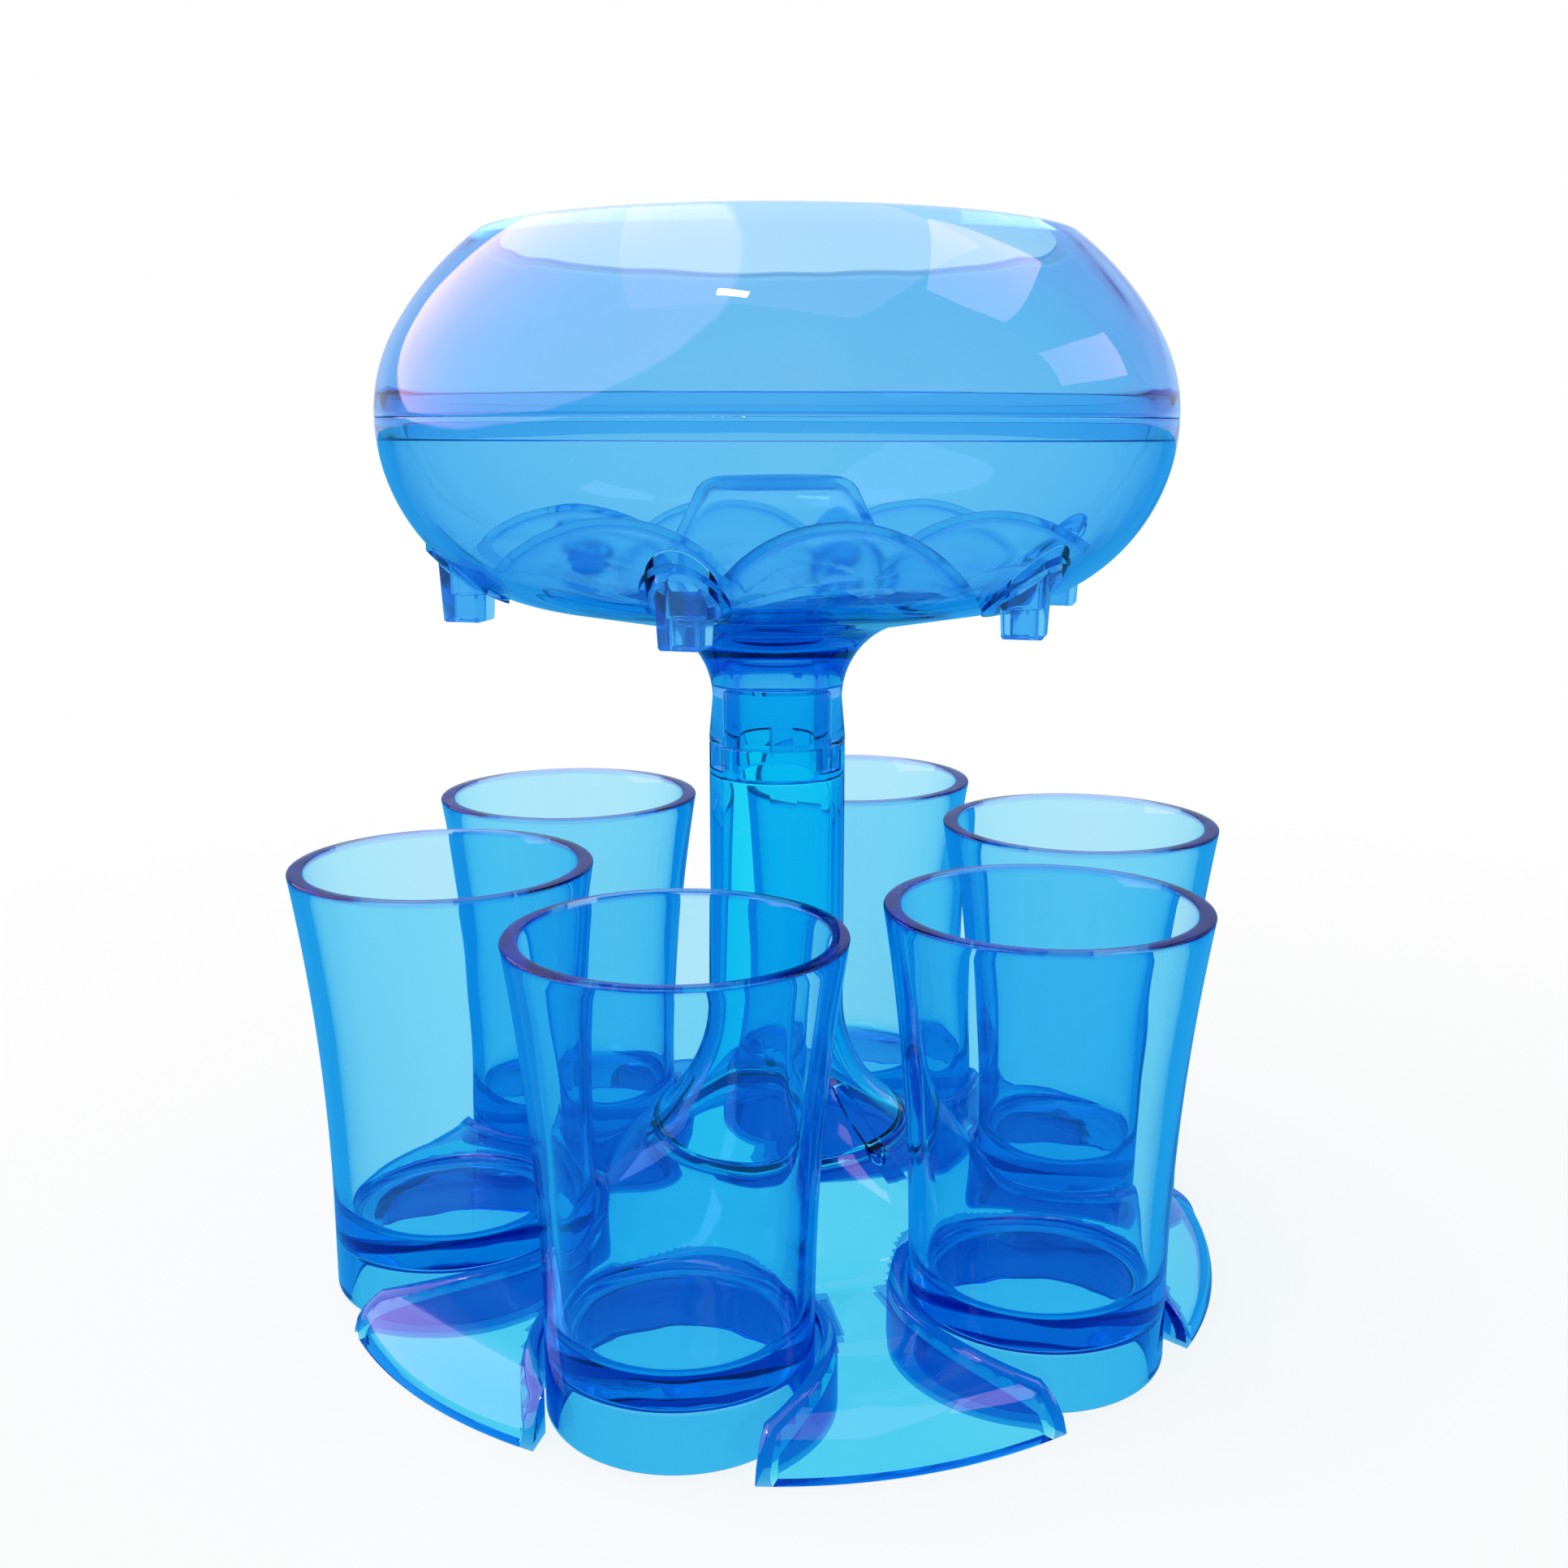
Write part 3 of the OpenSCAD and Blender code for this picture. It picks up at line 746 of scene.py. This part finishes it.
def divider_z(r, angle, wall):
    """Height of the lobes and hub, set in by a wall."""
    top = None
    for i in range(PLACES):
        a = angle - (i + 0.5) * PITCH
        away2 = r * r + LOBE_PLACE_R**2 - 2 * r * LOBE_PLACE_R * math.cos(a)
        radius = LOBE_R - wall
        z = LOBE_Z + math.sqrt(max(radius**2 - away2, 0.0)) - max(away2 - radius**2, 0.0)
        top = z if top is None else smooth_max(top, z, LOBE_BLEND)
    centre_r, centre_z = HUB_R - HUB_ROUND, HUB_Z - HUB_ROUND
    round_r = HUB_ROUND - wall
    if r < centre_r:
        hub = HUB_Z - wall
    elif r < centre_r + round_r * math.cos(HUB_DRAFT):
        hub = centre_z + math.sqrt(round_r**2 - (r - centre_r) ** 2)
    else:
        side_r = centre_r + round_r * math.cos(HUB_DRAFT)
        side_z = centre_z + round_r * math.sin(HUB_DRAFT)
        hub = side_z - (r - side_r) / math.tan(HUB_DRAFT)
    return smooth_max(top, hub, HUB_BLEND)


def divider_end(angle, wall):
    """Radius at which the divider meets the bowl's inner surface."""
    low, high = LOBE_PLACE_R - 8, BOWL_R - BOWL_WALL - 1
    for _ in range(40):
        middle = (low + high) / 2
        if divider_z(middle, angle, wall) > floor_z(middle, BOND_GAP):
            low = middle
        else:
            high = middle
    return low


def make_flow_divider():
    """A disc of two skins, spun flat and then raised to the hub and lobes."""
    steps = 60
    outline = [(k, 1) for k in range(steps + 1)] + [(k, 0) for k in range(steps, -1, -1)]
    bm = turned(outline, turns=240)
    ends = {}
    for v in bm.verts:
        t = math.hypot(v.co.x, v.co.y) / (steps * MM)
        angle = math.atan2(v.co.x, -v.co.y)
        wall = 0.0 if v.co.z > 0.5 * MM else DIVIDER_WALL
        key = (round(angle, 5), wall)
        if key not in ends:
            ends[key] = divider_end(angle, wall)
        r = min(t, 1.0) * ends[key]
        z = max(divider_z(r, angle, wall), floor_z(r, BOND_GAP))
        v.co = (r * math.sin(angle) * MM, -r * math.cos(angle) * MM, z * MM)
    bmesh.ops.recalc_face_normals(bm, faces=bm.faces)
    return as_object("clear_flow_divider", bm)


# ---------------------------------------------------------------- materials

# Colours painted on: a painted reflection on the glasses' rims, a painted highlight on the upper bowl's
# rim, and painted shade on the glasses' feet, the notches' collars and the divider's hub; and the tint of
# the light that falls through plastic
# painted reflection: violet on the glasses' rims, where pink lamps would be mirrored
PAINTED_REFLECTION_VIOLET_RIM = (0.42, 0.34, 0.97, 1)
# painted highlight: paler colour at the upper bowl's rim
PAINTED_HIGHLIGHT_PALE_RIM = (0.85, 0.93, 1, 1)
# painted shade: deeper blue on the glasses' feet
PAINTED_SHADE_FOOT = (0.09, 0.56, 0.88, 1)
# painted shade: dark blue on the walls round the notches
PAINTED_SHADE_COLLAR = (0.03, 0.26, 0.74, 1)
# painted shade: deeper blue on the top of the divider's hub
PAINTED_SHADE_HUB = (0.04, 0.42, 0.88, 1)
SHADOW_TINT = (0.95, 0.96, 0.98, 1)
WHITE = (1, 1, 1, 1)

# Where the painted light and shade of a rim starts and is full below its top, where its alpha does, and
# half of the blend of a foot's painted shade
RIM_PAINTED_LIGHT_FROM = 0.9
RIM_PAINTED_LIGHT_TO = 0.1
RIM_ALPHA_FROM = 0.6
RIM_ALPHA_TO = 0.2
FOOT_BLEND = 0.4

# Height of the skin's waves in metres, and how much the fine marks add to its roughness
SKIN_WAVE = 0.0006
FINE_MARKS = 0.04

# The share of the volume's density that goes into the colour that it absorbs most
MOST_ABSORBED = 0.96


def put(links, value, socket):
    """Links a socket to what feeds it, or gives it a plain value."""
    if isinstance(value, bpy.types.NodeSocket):
        links.new(value, socket)
    else:
        socket.default_value = value


def maths(nodes, links, operation, *values):
    """What a maths node makes of sockets and numbers."""
    node = nodes.new("ShaderNodeMath")
    node.operation = operation
    for value, socket in zip(values, node.inputs):
        put(links, value, socket)
    return node.outputs["Value"]


def mixed_colour(nodes, links, share, colour, other):
    """A colour that turns into another one as the share grows."""
    mix = nodes.new("ShaderNodeMix")
    mix.data_type = "RGBA"
    put(links, share, mix.inputs[0])
    put(links, colour, mix.inputs[6])
    put(links, other, mix.inputs[7])
    return mix.outputs[2]


def mixed_shader(nodes, links, share, shader, other):
    """A shader that turns into another one as the share grows."""
    mix = nodes.new("ShaderNodeMixShader")
    put(links, share, mix.inputs[0])
    links.new(shader, mix.inputs[1])
    links.new(other, mix.inputs[2])
    return mix.outputs["Shader"]


def ranged(nodes, links, value, start, end, low=0.0, high=1.0, kind="LINEAR"):
    """A value that goes from low to high as another one goes from start to end."""
    node = nodes.new("ShaderNodeMapRange")
    node.interpolation_type = kind
    node.inputs["From Min"].default_value = start
    node.inputs["From Max"].default_value = end
    node.inputs["To Min"].default_value = low
    node.inputs["To Max"].default_value = high
    links.new(value, node.inputs["Value"])
    return node.outputs["Result"]


def past_height(nodes, links, start, end, low=0.0, high=1.0):
    """A value that goes from low to high between two heights."""
    where = nodes.new("ShaderNodeTexCoord")
    split = nodes.new("ShaderNodeSeparateXYZ")
    links.new(where.outputs["Object"], split.inputs["Vector"])
    return ranged(nodes, links, split.outputs["Z"], start * MM, end * MM, low, high)


def moulded_group():
    """Clear moulded plastic: faint flow marks in the tint, fine marks in the gloss, and a wavy skin."""
    group = bpy.data.node_groups.new("moulded_clear_plastic", "ShaderNodeTree")
    for name, kind, value in (
        ("Tint", "NodeSocketColor", WHITE),
        ("Flow Tint", "NodeSocketColor", WHITE),
        ("Flow Scale", "NodeSocketFloat", 40.0),
        ("Gloss", "NodeSocketFloat", 0.02),
        ("Marks", "NodeSocketFloat", 0.03),
    ):
        socket = group.interface.new_socket(name, in_out="INPUT", socket_type=kind)
        socket.default_value = value
    for name, kind in (
        ("Color", "NodeSocketColor"),
        ("Roughness", "NodeSocketFloat"),
        ("Height", "NodeSocketFloat"),
    ):
        group.interface.new_socket(name, in_out="OUTPUT", socket_type=kind)
    nodes, links = group.nodes, group.links
    given, put_out = nodes.new("NodeGroupInput"), nodes.new("NodeGroupOutput")
    where = nodes.new("ShaderNodeTexCoord")
    stretch = nodes.new("ShaderNodeMapping")
    stretch.inputs["Scale"].default_value = (1, 1, 0.35)
    links.new(where.outputs["Object"], stretch.inputs["Vector"])
    flow = nodes.new("ShaderNodeTexNoise")
    flow.inputs["Detail"].default_value = 2
    links.new(stretch.outputs["Vector"], flow.inputs["Vector"])
    links.new(given.outputs["Flow Scale"], flow.inputs["Scale"])
    tint = mixed_colour(
        nodes, links, flow.outputs["Fac"], given.outputs["Tint"], given.outputs["Flow Tint"]
    )
    links.new(tint, put_out.inputs["Color"])
    fine = nodes.new("ShaderNodeTexNoise")
    fine.inputs["Scale"].default_value = 900
    fine.inputs["Detail"].default_value = 3
    links.new(where.outputs["Object"], fine.inputs["Vector"])
    marked = ranged(nodes, links, fine.outputs["Fac"], 0.55, 0.8)
    roughness = maths(
        nodes, links, "MULTIPLY_ADD", marked, given.outputs["Marks"], given.outputs["Gloss"]
    )
    links.new(roughness, put_out.inputs["Roughness"])
    links.new(flow.outputs["Fac"], put_out.inputs["Height"])
    return group


MOULDED = moulded_group()


def clear_plastic(
    name, tint, flow_tint, absorbed, ior, flow_scale=45.0, gloss=0.01, body=0.0,
    rim=None, rim_alpha=1.0, foot=None, edge=None,
):
    """Clear tinted plastic. absorbed is what a metre of it takes off in red, green and blue.

    rim and foot are a height each and the colour painted above or below it, painted light and shade
    on rims and painted shade on feet, and rim_alpha keeps a rim from leading light down into the
    wall. edge is the painted shade on the faces that the mesh marks as edge, and body is how much
    of the light the plastic scatters back.
    """
    mat = bpy.data.materials.new(name)
    mat.use_nodes = True
    nodes, links = mat.node_tree.nodes, mat.node_tree.links
    nodes.clear()
    out = nodes.new("ShaderNodeOutputMaterial")
    skin = nodes.new("ShaderNodeBsdfPrincipled")
    skin.inputs["Transmission Weight"].default_value = 1 - body
    skin.inputs["Metallic"].default_value = 0
    skin.inputs["IOR"].default_value = ior
    look = nodes.new("ShaderNodeGroup")
    look.node_tree = MOULDED
    look.inputs["Tint"].default_value = (*tint, 1)
    look.inputs["Flow Tint"].default_value = (*flow_tint, 1)
    look.inputs["Flow Scale"].default_value = flow_scale
    look.inputs["Gloss"].default_value = gloss
    look.inputs["Marks"].default_value = FINE_MARKS
    colour = look.outputs["Color"]
    # painted light and shade mixed into the colour near the top
    if rim is not None:
        top, rim_painted_light_and_shade = rim
        share = past_height(nodes, links, top - RIM_PAINTED_LIGHT_FROM, top - RIM_PAINTED_LIGHT_TO)
        colour = mixed_colour(nodes, links, share, colour, rim_painted_light_and_shade)
        alpha = past_height(nodes, links, top - RIM_ALPHA_FROM, top - RIM_ALPHA_TO, 1, rim_alpha)
        links.new(alpha, skin.inputs["Alpha"])
    # painted shade mixed into the colour below a height
    if foot is not None:
        level, foot_painted_shade = foot
        share = past_height(nodes, links, level + FOOT_BLEND, level - FOOT_BLEND)
        colour = mixed_colour(nodes, links, share, colour, foot_painted_shade)
    # painted shade on the faces that the mesh marks as edge
    if edge is not None:
        marked = nodes.new("ShaderNodeAttribute")
        marked.attribute_name = "edge"
        colour = mixed_colour(nodes, links, marked.outputs["Fac"], colour, edge)
    links.new(colour, skin.inputs["Base Color"])
    links.new(look.outputs["Roughness"], skin.inputs["Roughness"])
    bump = nodes.new("ShaderNodeBump")
    bump.inputs["Strength"].default_value = 1.0
    bump.inputs["Distance"].default_value = SKIN_WAVE
    links.new(look.outputs["Height"], bump.inputs["Height"])
    links.new(bump.outputs["Normal"], skin.inputs["Normal"])
    path = nodes.new("ShaderNodeLightPath")
    lit = maths(
        nodes, links, "MAXIMUM", path.outputs["Is Shadow Ray"], path.outputs["Is Diffuse Ray"]
    )
    clear = nodes.new("ShaderNodeBsdfTransparent")
    clear.inputs["Color"].default_value = SHADOW_TINT
    surface = mixed_shader(nodes, links, lit, skin.outputs["BSDF"], clear.outputs["BSDF"])
    links.new(surface, out.inputs["Surface"])
    inside = nodes.new("ShaderNodeVolumeAbsorption")
    density = max(absorbed) / MOST_ABSORBED
    inside.inputs["Density"].default_value = density
    inside.inputs["Color"].default_value = (*[1 - a / density for a in absorbed], 1)
    links.new(inside.outputs["Volume"], out.inputs["Volume"])
    return mat


# ---------------------------------------------------------------- pieces

# painted shade: the walls round the notches are dark blue
base_plastic = clear_plastic(
    "clear_blue_base_plastic", tint=(0.14, 0.76, 0.965), flow_tint=(0.42, 0.88, 0.99),
    absorbed=(420, 65, 20), ior=1.42, flow_scale=25, edge=PAINTED_SHADE_COLLAR,
)
column_plastic = clear_plastic(
    "clear_blue_column_plastic", tint=(0.55, 0.87, 0.98), flow_tint=(0.65, 0.93, 1),
    absorbed=(700, 36, 9), ior=1.34,
)
bowl_plastic = clear_plastic(
    "clear_blue_bowl_plastic", tint=(0.58, 0.8, 0.97), flow_tint=(0.74, 0.87, 0.98),
    absorbed=(260, 55, 14), ior=1.38, flow_scale=30,
)
# painted highlight: the rim is paler
upper_bowl_plastic = clear_plastic(
    "clear_blue_upper_bowl_plastic", tint=(0.58, 0.78, 0.965), flow_tint=(0.74, 0.85, 0.98),
    absorbed=(220, 45, 12), ior=1.38, flow_scale=30, rim=(SEAM_Z + RIM_RISE, PAINTED_HIGHLIGHT_PALE_RIM), rim_alpha=0.25,
)
# painted shade: the top of the hub is deeper blue
divider_plastic = clear_plastic(
    "clear_blue_divider_plastic", tint=(0.92, 0.97, 0.99), flow_tint=(0.96, 0.985, 1),
    absorbed=(45, 10, 3), ior=1.035, gloss=0.2, rim=(HUB_Z + 0.3, PAINTED_SHADE_HUB),
)
spout_plastic = clear_plastic(
    "clear_blue_spout_plastic", tint=(0.2, 0.62, 0.9), flow_tint=(0.28, 0.68, 0.93),
    absorbed=(100, 25, 6), ior=1.2, gloss=0.1, body=0.06,
)
# painted reflection: violet on the rims; painted shade: deeper blue on the feet
glass_plastic = clear_plastic(
    "clear_blue_glass_plastic", tint=(0.76, 0.875, 0.985), flow_tint=(0.86, 0.94, 1),
    absorbed=(240, 32, 9), ior=1.4, rim=(GLASS_H, PAINTED_REFLECTION_VIOLET_RIM), rim_alpha=0.6,
    foot=(GLASS_FLOOR_Z - GLASS_SLAB + 0.6, PAINTED_SHADE_FOOT),
)

finished(make_base_tray(), "base", "base_tray", base_plastic)
finished(make_column(), "base", "column", column_plastic)
finished(make_lower_bowl(), "bowl", "bowl_lower", bowl_plastic)
upper = as_object("clear_bowl_upper", turned(upper_bowl_outline(), turns=192))
finished(upper, "bowl", "bowl_upper", upper_bowl_plastic)
finished(
    make_flow_divider(), "bowl", "flow_divider", divider_plastic, DIVIDER_SHARP
)

for i in range(1, PLACES + 1):
    finished(make_spout(i), "bowl", f"spout_{i}", spout_plastic, SPOUT_SHARP)

for i in range(1, PLACES + 1):
    glass = as_object(f"clear_glass_{i}", turned(glass_outline(), place(i)))
    finished(glass, f"glass_{i}", f"glass_{i}", glass_plastic)


# ---------------------------------------------------------------- floor and surroundings

# Turn of the camera round the object, from straight in front of glass 1 towards +X
CAMERA_TURN = math.radians(14.55)

# What the plastic mirrors: a floor that glows blue, painted light that stands for the blue light the
# plastic throws on it, and a room that is dim in front of the object and pale behind it. The numbers
# go from 0, towards the camera, to 1, away from it.
PAINTED_BLUE_FLOOR_LIGHT = (0.05, 0.45, 0.85, 1)
MIRRORED_ROOM = [
    (0.02, (0.04, 0.35, 0.8)),
    (0.5, (0.14, 0.34, 0.9)),
    (0.72, (0.5, 0.48, 1.0)),
    (0.98, (0.62, 0.75, 1.0)),
]

# The floor in metres: half its side, its drop under the object, and where its glow grows to white
FLOOR_HALF = 4
FLOOR_DROP = 0.0002
FLOOR_COLOUR = (0.32, 0.44, 0.34, 1)
GLOW_FROM = 0.12
GLOW_TO = 0.4
GLOW_LEAST = 0.82


def reflected(nodes, links, path):
    """1 for light that a surface has mirrored on its way, 0 for what is seen directly or through."""
    return maths(nodes, links, "MINIMUM", path.outputs["Glossy Depth"], 1)


def pale_floor():
    """A floor that the camera sees as white, with a matt part that keeps the object's shadow."""
    mat = bpy.data.materials.new("pale_floor")
    mat.use_nodes = True
    nodes, links = mat.node_tree.nodes, mat.node_tree.links
    matt = nodes["Principled BSDF"]
    matt.inputs["Base Color"].default_value = FLOOR_COLOUR
    matt.inputs["Roughness"].default_value = 0.9
    matt.inputs["Specular IOR Level"].default_value = 0.0
    where = nodes.new("ShaderNodeTexCoord")
    away = nodes.new("ShaderNodeVectorMath")
    away.operation = "LENGTH"
    links.new(where.outputs["Object"], away.inputs[0])
    far = ranged(nodes, links, away.outputs["Value"], GLOW_FROM, GLOW_TO, GLOW_LEAST, 1, "SMOOTHSTEP")
    path = nodes.new("ShaderNodeLightPath")
    seen = maths(
        nodes, links, "MAXIMUM", path.outputs["Is Camera Ray"], path.outputs["Is Transmission Ray"]
    )
    share = maths(nodes, links, "MULTIPLY", seen, far)
    mirrored = reflected(nodes, links, path)
    # painted light: in mirror images the floor glows blue
    glow = nodes.new("ShaderNodeEmission")
    links.new(mixed_colour(nodes, links, mirrored, WHITE, PAINTED_BLUE_FLOOR_LIGHT), glow.inputs["Color"])
    share = maths(nodes, links, "MAXIMUM", share, mirrored)
    surface = mixed_shader(nodes, links, share, matt.outputs["BSDF"], glow.outputs["Emission"])
    links.new(surface, nodes["Material Output"].inputs["Surface"])
    return mat


def studio():
    """A world that is white to look at, and that the plastic mirrors as a blue room."""
    world = bpy.data.worlds.new("studio")
    world.use_nodes = True
    nodes, links = world.node_tree.nodes, world.node_tree.links
    sky = nodes["Background"]
    sky.inputs["Strength"].default_value = 1.0
    where = nodes.new("ShaderNodeTexCoord")
    towards = nodes.new("ShaderNodeVectorMath")
    towards.operation = "DOT_PRODUCT"
    towards.inputs[1].default_value = (-math.sin(CAMERA_TURN), math.cos(CAMERA_TURN), 0)
    links.new(where.outputs["Generated"], towards.inputs[0])
    half = maths(nodes, links, "MULTIPLY_ADD", towards.outputs["Value"], 0.5, 0.5)
    ramp = nodes.new("ShaderNodeValToRGB")
    for position, colour in MIRRORED_ROOM:
        stop = ramp.color_ramp.elements.new(position)
        stop.color = (*colour, 1)
    ramp.color_ramp.elements.remove(ramp.color_ramp.elements[-1])
    ramp.color_ramp.elements.remove(ramp.color_ramp.elements[0])
    links.new(half, ramp.inputs["Fac"])
    mirrored = reflected(nodes, links, nodes.new("ShaderNodeLightPath"))
    backdrop = mixed_colour(nodes, links, mirrored, WHITE, ramp.outputs["Color"])
    links.new(backdrop, sky.inputs["Color"])
    return world


floor_mesh = bmesh.new()
bmesh.ops.create_grid(floor_mesh, x_segments=1, y_segments=1, size=FLOOR_HALF)
bmesh.ops.translate(floor_mesh, verts=floor_mesh.verts, vec=(0, 0, -FLOOR_DROP))
floor = as_object("floor", floor_mesh)
floor.data.materials.append(pale_floor())
bpy.context.scene.world = studio()


# ---------------------------------------------------------------- lamps

# Where the lamps aim, in metres, and their colour, which shows in their mirror images
BOWL_MIDDLE = (0, 0, 0.14)
PALE_VIOLET = (1.0, 0.55, 0.92)


def from_bowl(turn, rise, distance):
    """A point seen from the bowl, turned from the camera's side towards +X and raised, in degrees."""
    a, e = math.radians(turn) + CAMERA_TURN, math.radians(rise)
    return (
        distance * math.sin(a) * math.cos(e),
        -distance * math.cos(a) * math.cos(e),
        BOWL_MIDDLE[2] + distance * math.sin(e),
    )


def fade_out(light, width):
    """Lets a round lamp's strength fall to nothing over the outer part of its disc."""
    light.use_nodes = True
    nodes, links = light.node_tree.nodes, light.node_tree.links
    where = nodes.new("ShaderNodeNewGeometry")
    away = nodes.new("ShaderNodeVectorMath")
    away.operation = "DISTANCE"
    away.inputs[1].default_value = (0.5, 0.5, 0)
    links.new(where.outputs["Parametric"], away.inputs[0])
    fade = ranged(nodes, links, away.outputs["Value"], 0.5 - width, 0.5, 1, 0, "SMOOTHSTEP")
    links.new(fade, nodes["Emission"].inputs["Strength"])


def lamp(name, at, size, power, colour=PALE_VIOLET, shape="RECTANGLE", fading=0.0):
    """A flat lamp that faces the bowl. Plastic mirrors it, but it isn't seen directly or through."""
    light = bpy.data.lights.new(name, "AREA")
    light.shape = shape
    light.size, light.size_y = size
    light.energy = power
    light.color = colour
    obj = bpy.data.objects.new(name, light)
    bpy.context.scene.collection.objects.link(obj)
    obj.location = at
    obj.rotation_euler = (Vector(BOWL_MIDDLE) - Vector(at)).to_track_quat("-Z", "Y").to_euler()
    obj.visible_camera = False
    obj.visible_transmission = False
    if fading:
        fade_out(light, fading)


lamp("left_window", from_bowl(-91, 40, 0.9), size=(2.05, 1.8), power=30, shape="ELLIPSE", fading=0.03)
lamp("ceiling", (0, 0, 1.3), size=(1.2, 1.2), power=7)
lamp("right_window_above", from_bowl(102, 54, 1.0), size=(0.6, 0.34), power=2.4)
lamp("right_window_below", from_bowl(96, 21, 1.0), size=(0.55, 0.26), power=1.4)
lamp("front_lamp", from_bowl(-22, 66, 1.0), size=(0.12, 0.04), power=1.4, colour=(1, 1, 1))


# ---------------------------------------------------------------- camera and render

# Place in metres, lens in millimetres, and the angles that the camera fitted to the photo has
CAMERA_AT = (0.06676, -0.25721, 0.13242)
CAMERA_LENS = 39.075
CAMERA_YAW = 0.0041
CAMERA_DROP = 0.2062
CAMERA_ROLL = 0.0015

camera_data = bpy.data.cameras.new("camera")
camera_data.sensor_width = 36
camera_data.lens = CAMERA_LENS
camera_data.clip_start, camera_data.clip_end = 0.01, 20
camera = bpy.data.objects.new("camera", camera_data)
bpy.context.scene.collection.objects.link(camera)
forward = Vector((
    math.sin(CAMERA_YAW) * math.cos(CAMERA_DROP),
    math.cos(CAMERA_YAW) * math.cos(CAMERA_DROP),
    -math.sin(CAMERA_DROP),
))
level = Vector((math.cos(CAMERA_YAW), -math.sin(CAMERA_YAW), 0))
upright = level.cross(forward)
right = math.cos(CAMERA_ROLL) * level + math.sin(CAMERA_ROLL) * upright
up = -math.sin(CAMERA_ROLL) * level + math.cos(CAMERA_ROLL) * upright
aim = Matrix((right, up, -forward)).transposed()
camera.rotation_euler = (Matrix.Rotation(CAMERA_TURN, 3, "Z") @ aim).to_euler()
camera.location = CAMERA_AT
bpy.context.scene.camera = camera

scene = bpy.context.scene
scene.view_settings.view_transform = "Standard"
scene.cycles.max_bounces = 32
scene.cycles.glossy_bounces = 32
scene.cycles.transmission_bounces = 32
scene.cycles.transparent_max_bounces = 28
